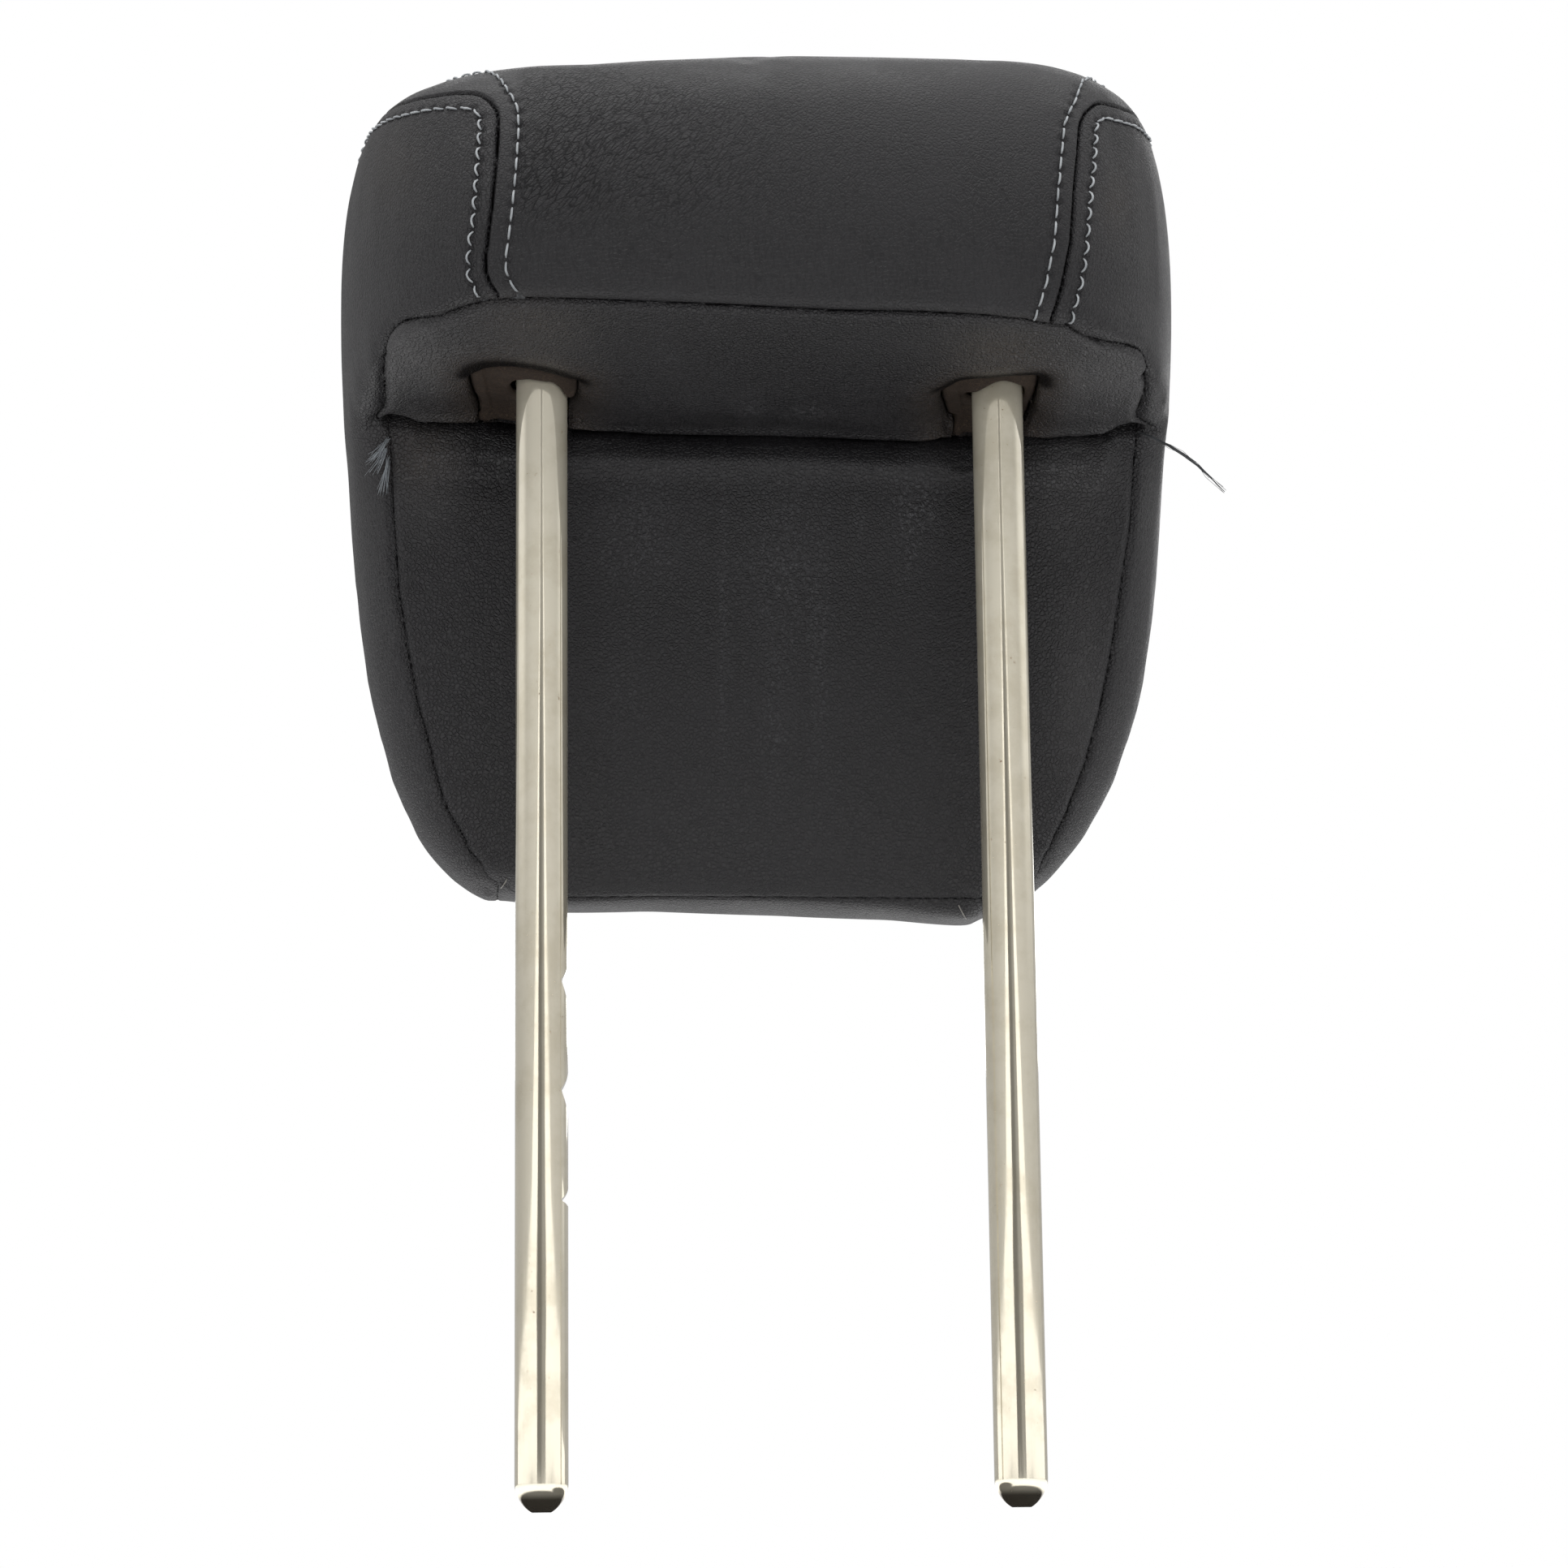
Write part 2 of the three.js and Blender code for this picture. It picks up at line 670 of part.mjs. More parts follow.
// Everything outside one twin seam and below the seam over the shoulder.
function sideRegion(sign, grow) {
  const lowZ = flapBottomZ - overcut;
  const cornerZ = crownZ - shoulderRearDrop + grow;
  const sideZ = crownZ - shoulderSideDrop + grow;
  const seam = (z) => seamLineX(sign, z) - sign * grow;
  const plan = polygon([
    [seam(lowZ), lowZ],
    [sign * reach, lowZ],
    [sign * reach, crownZ + overcut],
    [seam(crownZ), crownZ + overcut],
  ]);
  const below = polygon([
    [-reach, lowZ],
    [reach, lowZ],
    [reach, sideZ - shoulderSideDrop],
    [frontY, sideZ - shoulderSideDrop],
    [shoulderSideY, sideZ],
    [rearSeamY, cornerZ],
    [-reach, cornerZ],
  ]);
  return prismAlongY(plan, -reach, reach).intersect(prismAlongX(below, -reach, reach));
}

function seamTapeRegion(sign, grow) {
  const half = tapeWidth / 2 + grow;
  const lowZ = rearSeamZ + 3 - grow;
  const highZ = crownZ - shoulderRearDrop + grow;
  const outline = polygon([
    [seamLineX(sign, lowZ) - half, lowZ],
    [seamLineX(sign, lowZ) + half, lowZ],
    [seamLineX(sign, highZ) + half, highZ],
    [seamLineX(sign, highZ) - half, highZ],
  ]);
  return prismAlongY(outline, -reach, slotRearY);
}

// Closing strip profile: leg, foot and hook
function stripOutline(grow) {
  return polygon([
    [-grow, -grow],
    [stripWidth + grow, -grow],
    [stripWidth + grow, stripHook + grow],
    [stripWidth - stripWall - grow, stripHook + grow],
    [stripWidth - stripWall - grow, stripWall + grow],
    [stripWall + grow, stripWall + grow],
    [stripWall + grow, stripLeg + grow],
    [-grow, stripLeg + grow],
  ]);
}

const stripY = creaseY + stripSetback;
const stripZ = creaseZ - 2;
// The lower strip is the upper one turned over, so that the two hooks meet.
const stripTurnY = stripWidth * 0.75 - stripWall / 4;
const stripTurnZ = (stripHook + stripWall + fitGap) / 2;

function closingStrip(upper) {
  let strip = prismAlongX(stripOutline(0), -stripHalfLength, stripHalfLength);
  if (!upper) {
    strip = strip.rotate([180, 0, 0]).translate([0, 2 * stripTurnY, 2 * stripTurnZ]);
  }
  return strip.translate([0, stripY, stripZ]);
}

// The channel in the foam that holds both strips, open to the crease.
function stripChannel() {
  const highY = stripY + 2 * stripTurnY + fitGap;
  const lowZ = stripZ + 2 * stripTurnZ - stripLeg - fitGap;
  const highZ = stripZ + stripLeg + fitGap;
  const half = stripHalfLength + fitGap;
  return prismAlongX(rectangle(creaseY - overcut, lowZ, highY, highZ), -half, half);
}

// The whole head
const outerHead = headSolid(0);
const coverInside = headSolid(leatherThickness);
const tapeFace = leatherThickness + fitGap / 2;
const foamDepth = leatherThickness + foamGap;
const foamOutside = headSolid(foamDepth);

let cover = outerHead.subtract(coverInside);
cover = cover.subtract(slotCut(-1, seamGap)).subtract(slotCut(1, seamGap));

const frontPanel = largestPiece(cover.intersect(frontRegion(0)));
let remaining = cover.subtract(frontRegion(seamGap));
const undersidePanel = largestPiece(remaining.intersect(undersideRegion(0)));
remaining = remaining.subtract(undersideRegion(seamGap));
const flapRearPanel = largestPiece(remaining.intersect(flapRearRegion(-seamGap)));
remaining = remaining.subtract(flapRearRegion(0));
const bottomBand = largestPiece(remaining.intersect(bottomRegion(-seamGap)));
remaining = remaining.subtract(bottomRegion(0));
const sideLeft = largestPiece(remaining.intersect(sideRegion(-1, 0)));
const sideRight = largestPiece(remaining.intersect(sideRegion(1, 0)));
const centrePanel = largestPiece(
  remaining.subtract(sideRegion(-1, seamGap)).subtract(sideRegion(1, seamGap)),
);

const tapeLayer = headSolid(tapeFace).subtract(headSolid(tapeFace + tapeThickness));
const tapeLeft = largestPiece(tapeLayer.intersect(seamTapeRegion(-1, 0)));
const tapeRight = largestPiece(tapeLayer.intersect(seamTapeRegion(1, 0)));

const tapeRecess = headSolid(0).subtract(headSolid(foamDepth + tapeThickness + fitGap));
let foam = foamOutside.subtract(
  prismAlongY(
    carrierOutline(fitGap),
    -carrierHalfDepth - fitGap,
    carrierHalfDepth + fitGap,
  ),
);
foam = foam.subtract(slotCut(-1, seamGap)).subtract(slotCut(1, seamGap));
foam = foam.subtract(tapeRecess.intersect(seamTapeRegion(-1, fitGap)));
foam = foam.subtract(tapeRecess.intersect(seamTapeRegion(1, fitGap)));
foam = largestPiece(foam.subtract(stripChannel()));

const recessedHead = headSolid(linerRecess);

// Finishes
const leather = { color: 0x302f31, roughness: 0.55, metalness: 0 };
const plated = { color: 0xbdb8a6, roughness: 0.18, metalness: 1 };
const felt = { color: 0x2a2421, roughness: 0.95, metalness: 0 };
const moulded = { color: 0x232323, roughness: 0.6, metalness: 0 };
const polyFoam = { color: 0xd9d3bd, roughness: 0.95, metalness: 0 };
const tape = { color: 0x3b3b3d, roughness: 0.9, metalness: 0 };
const zinc = { color: 0x9a9a94, roughness: 0.35, metalness: 1 };

const headrest = new THREE.Group();

function addPiece(name, solid, finish) {
  const mesh = new THREE.Mesh(geometryOf(solid), new THREE.MeshStandardMaterial(finish));
  mesh.name = name;
  headrest.add(mesh);
}

addPiece("post_frame", postFrame(), plated);
addPiece("carrier_front", carrierHalf(1), moulded);
addPiece("carrier_rear", carrierHalf(-1), moulded);
bossPlaces.forEach((place, index) => {
  addPiece(`carrier_screw_${index + 1}`, carrierScrew(place), zinc);
});
addPiece("foam_core", foam, polyFoam);
addPiece("seam_tape_left", tapeLeft, tape);
addPiece("seam_tape_right", tapeRight, tape);
addPiece("cover_centre_panel", centrePanel, leather);
addPiece("cover_front_panel", frontPanel, leather);
addPiece("cover_side_left", sideLeft, leather);
addPiece("cover_side_right", sideRight, leather);
addPiece("cover_underside_panel", undersidePanel, leather);
addPiece("cover_flap_rear_panel", flapRearPanel, leather);
addPiece("cover_bottom_band", bottomBand, leather);
addPiece("slot_liner_left", slotLiner(-1, recessedHead), felt);
addPiece("slot_liner_right", slotLiner(1, recessedHead), felt);
addPiece("closing_strip_upper", closingStrip(true), moulded);
addPiece("closing_strip_lower", closingStrip(false), moulded);

export default headrest;
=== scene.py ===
import json
import logging
import math
import random
from collections.abc import Callable
from dataclasses import dataclass, field
from enum import Enum
from functools import partial

import bmesh
import bpy
import numpy as np
from bmesh.types import BMEdge, BMesh, BMVert
from bpy.types import Material, Mesh, Node, NodeSocket, NodeTree, Object
from mathutils import Matrix, Vector, noise
from mathutils.bvhtree import BVHTree
from mathutils.kdtree import KDTree

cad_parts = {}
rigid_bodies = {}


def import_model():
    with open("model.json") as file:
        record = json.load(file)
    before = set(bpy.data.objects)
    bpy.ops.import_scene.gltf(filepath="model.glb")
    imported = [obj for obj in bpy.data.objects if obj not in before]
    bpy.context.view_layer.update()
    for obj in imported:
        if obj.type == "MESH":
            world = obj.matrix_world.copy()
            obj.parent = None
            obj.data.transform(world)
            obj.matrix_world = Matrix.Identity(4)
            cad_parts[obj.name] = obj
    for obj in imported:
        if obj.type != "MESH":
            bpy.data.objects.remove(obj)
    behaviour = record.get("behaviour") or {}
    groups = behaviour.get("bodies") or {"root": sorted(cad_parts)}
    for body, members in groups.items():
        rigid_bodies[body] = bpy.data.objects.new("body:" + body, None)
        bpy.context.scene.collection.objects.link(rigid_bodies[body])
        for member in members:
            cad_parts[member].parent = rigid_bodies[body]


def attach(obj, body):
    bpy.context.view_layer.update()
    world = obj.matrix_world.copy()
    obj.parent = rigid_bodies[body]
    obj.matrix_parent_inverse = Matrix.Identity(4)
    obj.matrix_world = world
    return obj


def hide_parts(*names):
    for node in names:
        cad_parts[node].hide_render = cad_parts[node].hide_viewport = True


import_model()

Table = tuple[tuple[float, float], ...]
Marks = tuple[tuple[float, float, float, float, float], ...]
LOG = logging.getLogger("headrest")
MM = 0.001
BODY = "root"
PICTURE_SIZE = 1932
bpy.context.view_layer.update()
FAR_GAP = 99.0


class Slot(Enum):
    """Material slots of the record, by name; the new pieces build their own finishes."""

    PLATED_STEEL = "plated_steel"
    FOAM = "foam"
    LEATHER = "leather"
    LINING = "slot_lining"


class Panel(Enum):
    """Leather panels of the cover, in the order of their distance columns."""

    CENTRE = 0
    FRONT = 1
    SIDE_LEFT = 2
    SIDE_RIGHT = 3
    UNDERSIDE = 4
    FLAP_REAR = 5
    BOTTOM = 6


# Vertex layers that the leather reads: wear, with one layer of painted light and one of painted shade among them.
WEAR_AND_LIGHT_LAYERS = ("creased", "scuffed", "browned", "coarse", "faded", "grimed")
PANEL_NODES = {
    Panel.CENTRE: "cover_centre_panel",
    Panel.FRONT: "cover_front_panel",
    Panel.SIDE_LEFT: "cover_side_left",
    Panel.SIDE_RIGHT: "cover_side_right",
    Panel.UNDERSIDE: "cover_underside_panel",
    Panel.FLAP_REAR: "cover_flap_rear_panel",
    Panel.BOTTOM: "cover_bottom_band",
}


def linear(code: str) -> tuple[float, float, float, float]:
    """Turns an sRGB hex colour into the linear values that a shader takes.

    Args:
        code: Six hex digits, with or without a leading hash.

    Returns:
        Linear red, green, blue and an alpha of 1.
    """
    digits = code.lstrip("#")
    parts = [int(digits[i:i + 2], 16) / 255 for i in (0, 2, 4)]
    turned = [c / 12.92 if c <= 0.04045 else ((c + 0.055) / 1.055) ** 2.4 for c in parts]
    return (turned[0], turned[1], turned[2], 1.0)


def add_node(tree: NodeTree, kind: str, settings: dict | None = None,
             inputs: dict | None = None) -> Node:
    """Adds one node with its settings, and values or links for its inputs.

    Args:
        tree: The material's or the world's node tree.
        kind: The node's type name.
        settings: Attributes of the node.
        inputs: Input names or numbers, each with a value or a socket to link from.

    Returns:
        The new node.
    """
    node = tree.nodes.new(kind)
    for name, value in (settings or {}).items():
        setattr(node, name, value)
    set_inputs(node, inputs or {})
    return node


def set_inputs(node: Node, inputs: dict) -> None:
    """Links sockets to a node's inputs, and sets its plain values.

    Args:
        node: The node.
        inputs: Input names or numbers, each with a value or a socket to link from.
    """
    for name, value in inputs.items():
        if isinstance(value, NodeSocket):
            node.id_data.links.new(value, node.inputs[name])
        else:
            node.inputs[name].default_value = value


def new_material(name: str) -> tuple[Material, Node, NodeSocket, Callable[..., NodeSocket]]:
    """Starts a material with its shader and its object coordinates.

    Args:
        name: The material's name.

    Returns:
        The material, the shader node, the socket of object coordinates, and what adds a step.
    """
    material = bpy.data.materials.new(name)
    material.use_nodes = True
    tree = material.node_tree
    tree.nodes.clear()
    shader = add_node(tree, "ShaderNodeBsdfPrincipled")
    add_node(tree, "ShaderNodeOutputMaterial", inputs={"Surface": shader.outputs["BSDF"]})
    place = add_node(tree, "ShaderNodeTexCoord").outputs["Object"]
    return material, shader, place, partial(add_step, tree)


@dataclass(frozen=True)
class Step:
    """A node with its settings, the inputs that it takes in order, and the output that is read."""

    kind: str
    settings: dict
    inputs: tuple
    output: str | int


RAMP = Step("ShaderNodeMapRange", {"interpolation_type": "SMOOTHSTEP"},
            ("Value", "From Min", "From Max", "To Min", "To Max"), "Result")
BLEND = Step("ShaderNodeMix", {"data_type": "RGBA"}, (0, 6, 7), 2)
MIX = Step("ShaderNodeMix", {"data_type": "FLOAT"}, (0, 2, 3), 0)
MULTIPLY, ADD, SUBTRACT, MAXIMUM, ARCTAN2, ABSOLUTE = (
    Step("ShaderNodeMath", {"operation": name}, (0, 1), 0)
    for name in ("MULTIPLY", "ADD", "SUBTRACT", "MAXIMUM", "ARCTAN2", "ABSOLUTE"))
NOISE = Step("ShaderNodeTexNoise", {}, ("Vector", "Scale", "Detail", "Roughness", "Distortion"), "Fac")
DRIFT = Step("ShaderNodeTexNoise", {}, ("Vector", "Scale", "Detail"), "Color")
CRACKS = Step("ShaderNodeTexVoronoi", {"feature": "DISTANCE_TO_EDGE"}, ("Vector", "Scale"), "Distance")
BUMP = Step("ShaderNodeBump", {}, ("Height", "Strength", "Distance"), 0)
CELLS = Step("ShaderNodeTexVoronoi", {}, ("Vector", "Scale"), "Distance")
STRIPES_X, STRIPES_Z, STRIPES_SLANTED = (
    Step("ShaderNodeTexWave", {"bands_direction": way}, ("Vector", "Scale", "Distortion"), "Fac")
    for way in ("X", "Z", "DIAGONAL"))
SHIFT = Step("ShaderNodeVectorMath", {"operation": "MULTIPLY_ADD"}, (0, 1, 2), 0)
MIRROR = Step("ShaderNodeVectorMath", {"operation": "ABSOLUTE"}, (0,), 0)
OFFSET = Step("ShaderNodeVectorMath", {"operation": "SUBTRACT"}, (0, 1), 0)
LENGTH = Step("ShaderNodeVectorMath", {"operation": "LENGTH"}, (0,), "Value")
SLANT = Step("ShaderNodeMapping", {"vector_type": "TEXTURE"}, ("Vector", "Rotation", "Scale"), 0)
STRETCH = Step("ShaderNodeMapping", {}, ("Vector", "Scale"), 0)
HEIGHT = Step("ShaderNodeSeparateXYZ", {}, ("Vector",), "Z")
IS_CAMERA, IS_GLOSSY, IS_TRANSMISSION = (
    Step("ShaderNodeLightPath", {}, (), f"Is {ray} Ray") for ray in ("Camera", "Glossy", "Transmission"))
DENT = Step("ShaderNodeBump", {"invert": True}, ("Height", "Strength", "Distance", "Normal"), 0)


def add_step(tree: NodeTree, step: Step, *values: NodeSocket | float | tuple) -> NodeSocket:
    """Adds the node of one step.

    Args:
        tree: The material's or the world's node tree.
        step: The node's kind, settings and inputs.
        values: A value or a socket for each input, as far as they differ from the node's own.

    Returns:
        The socket that the step reads.
    """
    return add_node(tree, step.kind, step.settings, dict(zip(step.inputs, values))).outputs[step.output]


@dataclass(frozen=True)
class CoatedLeather:
    """Black pigmented cowhide with an embossed pebble grain and a thin satin topcoat."""

    base: str = "#19181a"
    worn: str = "#323133"
    dust: str = "#68686b"
    # Paler grey of the patches of painted light.
    faded: str = "#525152"
    rust_brown: str = "#38302a"
    # Near-black of the painted shade in the creases and at the slots' rims.
    furrow: str = "#060607"
    pebble_mm: float = 1.15
    fine_grain_mm: float = 0.35
    crease_mm: float = 1.3
    fold_mm: float = 2.1
    grain_height_mm: float = 0.3
    crease_depth_mm: float = 0.4
    roughness: float = 0.47
    bend_mm: float = 0.7
    sweep_mm: float = 7.0
    slant: float = -50.0
    crease_run: tuple[float, float, float] = (3.6, 2.0, 0.85)
    sweeps_per_m: float = 34.0
    clouds_per_m: float = 26.0
    specks_per_m: float = 900.0

    def build(self) -> Material:
        """Builds the leather, with the wear, the painted light and the painted shade that the vertices carry.

        Returns:
            The material.
        """
        # Light catches the tops of the pebbles, and the creases between them stay dark.
        material, shader, place, add = new_material("coated_black_cowhide")
        drift = add(DRIFT, place, 1 / (3 * self.pebble_mm * MM), 2.0)
        bent = add(SHIFT, drift, (self.bend_mm * MM,) * 3, place)
        pebble = add(CRACKS, bent, 1 / (self.pebble_mm * MM))
        fine = add(NOISE, place, 1 / (self.fine_grain_mm * MM), 2.0)
        sweep = add(DRIFT, place, self.sweeps_per_m, 1.0)
        swept = add(SHIFT, sweep, (self.sweep_mm * MM,) * 3, bent)
        slanted = add(SLANT, swept, (0.0, math.radians(self.slant), 0.0), self.crease_run)
        crease = add(CRACKS, slanted, 1 / (self.crease_mm * MM))
        fold = add(CRACKS, slanted, 1 / (self.fold_mm * MM))
        creased, scuffed, browned, coarse, faded, grimed = (
            add(Step("ShaderNodeAttribute", {"attribute_name": name}, (), "Fac")) for name in WEAR_AND_LIGHT_LAYERS)
        cloud = add(NOISE, place, self.clouds_per_m, 4.0, 0.6)
        tops = add(RAMP, pebble, 0.0, 0.22)
        fine_crease = add(MULTIPLY, add(RAMP, crease, 0.16, 0.02), add(RAMP, cloud, 0.3, 0.6, 0.2, 0.6))
        furrow = add(MAXIMUM, fine_crease, add(RAMP, fold, 0.07, 0.01, 0.0, 0.35))
        furrow = add(MULTIPLY, furrow, creased)
        pebbles = add(MULTIPLY, tops, add(RAMP, coarse, 0.0, 1.0, 0.35, 1.0))
        grain = add(ADD, pebbles, add(MULTIPLY, fine, 0.35))
        skin = add(BUMP, grain, 0.9, self.grain_height_mm * MM)
        skin = add(DENT, furrow, 0.8, self.crease_depth_mm * MM, skin)
        speck = add(NOISE, place, self.specks_per_m, 3.0, 0.7)
        colour = add(BLEND, add(RAMP, cloud, 0.38, 0.72, 0.0, 0.35), linear(self.base), linear(self.worn))
        # Painted light: the leather is blended towards a paler grey where the vertices carry the patches.
        colour = add(BLEND, add(MULTIPLY, faded, add(RAMP, cloud, 0.3, 0.6, 0.6, 1.0)), colour, linear(self.faded))
        colour = add(BLEND, add(MULTIPLY, browned, add(RAMP, speck, 0.3, 0.62, 0.35, 1.0)), colour,
                     linear(self.rust_brown))
        chalk = add(MULTIPLY, scuffed, add(RAMP, speck, 0.46, 0.68))
        chalk = add(MULTIPLY, chalk, add(RAMP, pebble, 0.02, 0.2, 0.35, 1.0))
        colour = add(BLEND, chalk, colour, linear(self.dust))
        crown = add(MULTIPLY, add(RAMP, pebble, 0.05, 0.34), add(RAMP, coarse, 0.0, 1.0, 0.2, 0.6))
        colour = add(BLEND, crown, colour, linear(self.worn))
        # Painted shade: the creases are darkened towards near-black.
        colour = add(BLEND, add(MULTIPLY, furrow, 0.9), colour, linear(self.furrow))
        # Painted shade: the slots' rims are darkened towards near-black, and there and in the creases the leather
        # reflects less.
        sunk = add(MAXIMUM, furrow, grimed)
        colour = add(BLEND, add(MULTIPLY, grimed, 0.85), colour, linear(self.furrow))
        set_inputs(shader, {"Specular IOR Level": add(RAMP, sunk, 0.0, 1.0, 0.3, 0.03)})
        shine = add(RAMP, cloud, 0.3, 0.7, self.roughness - 0.05, self.roughness + 0.07)
        set_inputs(shader, {"Roughness": add(ADD, shine, add(MULTIPLY, chalk, 0.3)),
                            "Base Color": colour,
                            "Normal": skin})
        return material


@dataclass(frozen=True)
class NickelPlate:
    """Bright nickel-chrome plating on a drawn steel bar, hazed and scratched by use."""

    plate: str = "#e2dbc8"
    haze: str = "#c9c0a9"
    rust: str = "#6d4a2c"
    # Dark brown painted on the tips, a painted dark reflection.
    painted_dark_tip: str = "#3f352c"
    roughness: float = 0.06
    metallic: float = 0.68
    rubbed: float = 0.3
    scratches_per_m: float = 1900.0
    hazes_per_m: float = 70.0
    specks_per_m: float = 850.0
    rub_z: tuple[float, float] = (0.19, 0.285)

    def build(self) -> Material:
        """Builds the plating with fine scratches along the bar, small rust specks and painted dark tips.

        Returns:
            The material.
        """
        # Plating mirrors the room, softly, because years of sliding have hazed it.
        material, shader, place, add = new_material("bright_nickel_plate")
        along = add(STRETCH, place, (1.0, 1.0, 0.02))
        scratch = add(NOISE, along, self.scratches_per_m, 3.0, 0.7)
        patch = add(NOISE, place, self.hazes_per_m, 5.0, 0.65)
        speck = add(NOISE, place, self.specks_per_m, 2.0)
        dull = add(RAMP, patch, 0.42, 0.68)
        spots = add(MULTIPLY, add(RAMP, speck, 0.7, 0.76), add(RAMP, patch, 0.5, 0.6))
        colour = add(BLEND, add(MULTIPLY, dull, 0.55), linear(self.plate), linear(self.haze))
        colour = add(BLEND, add(MULTIPLY, spots, 0.8), colour, linear(self.rust))
        height = add(HEIGHT, place)
        # The last 3 to 5 mm of each tip are painted dark, a painted dark reflection.
        colour = add(BLEND, add(RAMP, height, 5 * MM, 3 * MM, 0.0, 0.85), colour, linear(self.painted_dark_tip))
        rough = add(ADD, add(RAMP, scratch, 0.3, 0.8, self.roughness - 0.02, self.roughness + 0.04),
                    add(MULTIPLY, dull, 0.05))
        rough = add(ADD, rough, add(MULTIPLY, spots, 0.4))
        wave = add(BUMP, scratch, 0.08, 0.02 * MM)
        set_inputs(shader, {"Base Color": colour,
                            "Roughness": rough,
                            "Normal": wave,
                            "Metallic": add(RAMP, height, *self.rub_z, self.metallic, self.rubbed)})
        return material


@dataclass(frozen=True)
class ZincPlate:
    """Blue-passivated zinc on steel screws, matt and slightly mottled."""

    zinc: str = "#a9adb1"
    dark: str = "#6e7276"
    crystals_per_m: float = 1100.0

    def build(self) -> Material:
        """Builds the zinc with a crystalline mottle.

        Returns:
            The material.
        """
        # Zinc is greyer and duller than nickel, and mottled where it crystallised.
        material, shader, place, add = new_material("blue_zinc_plate")
        cell = add(CELLS, place, self.crystals_per_m)
        set_inputs(shader, {"Base Color": add(BLEND, add(RAMP, cell, 0.1, 0.7), linear(self.zinc),
                                              linear(self.dark)),
                            "Roughness": add(RAMP, cell, 0.1, 0.8, 0.28, 0.45),
                            "Metallic": 1.0})
        return material


@dataclass(frozen=True)
class MouldedPlastic:
    """Black polypropylene with the fine spark-eroded texture of its mould."""

    base: str = "#232425"
    pale: str = "#3a3b3c"
    grit_per_m: float = 3300.0
    flows_per_m: float = 45.0

    def build(self) -> Material:
        """Builds the plastic with its mould texture.

        Returns:
            The material.
        """
        # The mould's grit, about 0.3 mm, breaks up the highlight.
        material, shader, place, add = new_material("moulded_black_polypropylene")
        grit = add(NOISE, place, self.grit_per_m, 2.0)
        flow = add(NOISE, place, self.flows_per_m, 3.0)
        bump = add(BUMP, grit, 0.35, 0.05 * MM)
        set_inputs(shader, {"Base Color": add(BLEND, add(RAMP, flow, 0.35, 0.75, 0.0, 0.5), linear(self.base),
                                              linear(self.pale)),
                            "Roughness": add(RAMP, grit, 0.3, 0.7, 0.42, 0.6),
                            "Normal": bump})
        return material


@dataclass(frozen=True)
class CushionFoam:
    """Open-cell polyurethane foam, yellowed a little with age."""

    base: str = "#c9b483"
    deep: str = "#8f7a4c"
    cells_per_m: float = 1250.0
    stains_per_m: float = 30.0

    def build(self) -> Material:
        """Builds the foam with cells about 0.8 mm wide.

        Returns:
            The material.
        """
        # Open cells swallow the light between bright struts.
        material, shader, place, add = new_material("moulded_polyurethane_foam")
        cell = add(CRACKS, place, self.cells_per_m)
        age = add(NOISE, place, self.stains_per_m, 3.0)
        bump = add(DENT, add(RAMP, cell, 0.0, 0.35), 0.8, 0.4 * MM)
        share = add(MULTIPLY, add(RAMP, cell, 0.05, 0.4), add(RAMP, age, 0.2, 0.8, 0.6, 1.0))
        set_inputs(shader, {"Base Color": add(BLEND, share, linear(self.base), linear(self.deep)),
                            "Roughness": add(RAMP, age, 0.2, 0.8, 0.85, 0.98),
                            "Normal": bump})
        return material


@dataclass(frozen=True)
class NeedleFelt:
    """Brown-black needled polyester felt that lines the post slots."""

    base: str = "#3b332e"
    fuzz: str = "#625449"
    fibres_per_m: float = 1500.0
    patches_per_m: float = 160.0

    def build(self) -> Material:
        """Builds the felt with its tangled fibres.

        Returns:
            The material.
        """
        # Loose fibres catch the light as short pale strokes on a dull dark ground.
        material, shader, place, add = new_material("needled_brown_black_felt")
        tangle = add(NOISE, place, self.fibres_per_m, 4.0, 0.7, 1.5)
        patch = add(NOISE, place, self.patches_per_m, 3.0)
        share = add(MULTIPLY, add(RAMP, tangle, 0.42, 0.75), add(RAMP, patch, 0.25, 0.7, 0.3, 1.0))
        bump = add(BUMP, tangle, 0.9, 0.5 * MM)
        set_inputs(shader, {"Base Color": add(BLEND, share, linear(self.base), linear(self.fuzz)),
                            "Roughness": add(RAMP, tangle, 0.2, 0.8, 0.8, 0.95),
                            "Normal": bump,
                            "Specular IOR Level": 0.15})
        return material


@dataclass(frozen=True)
class WovenTape:
    """Black woven polyamide tape behind the twin seams."""

    base: str = "#1d1e20"
    crown: str = "#45474a"
    pitch_mm: float = 0.9

    def build(self) -> Material:
        """Builds the tape with its plain weave.

        Returns:
            The material.
        """
        # Warp and weft cross about every millimetre and shine on their crowns.
        material, shader, place, add = new_material("woven_polyamide_tape")
        waves = [add(way, place, 0.05 / (self.pitch_mm * MM) * 6.28 / 2) for way in (STRIPES_X, STRIPES_Z)]
        weave = add(MULTIPLY, waves[0], waves[1])
        bump = add(BUMP, weave, 0.6, 0.2 * MM)
        set_inputs(shader, {"Base Color": add(BLEND, weave, linear(self.base), linear(self.crown)),
                            "Roughness": add(RAMP, weave, 0.0, 1.0, 0.7, 0.5),
                            "Normal": bump})
        return material


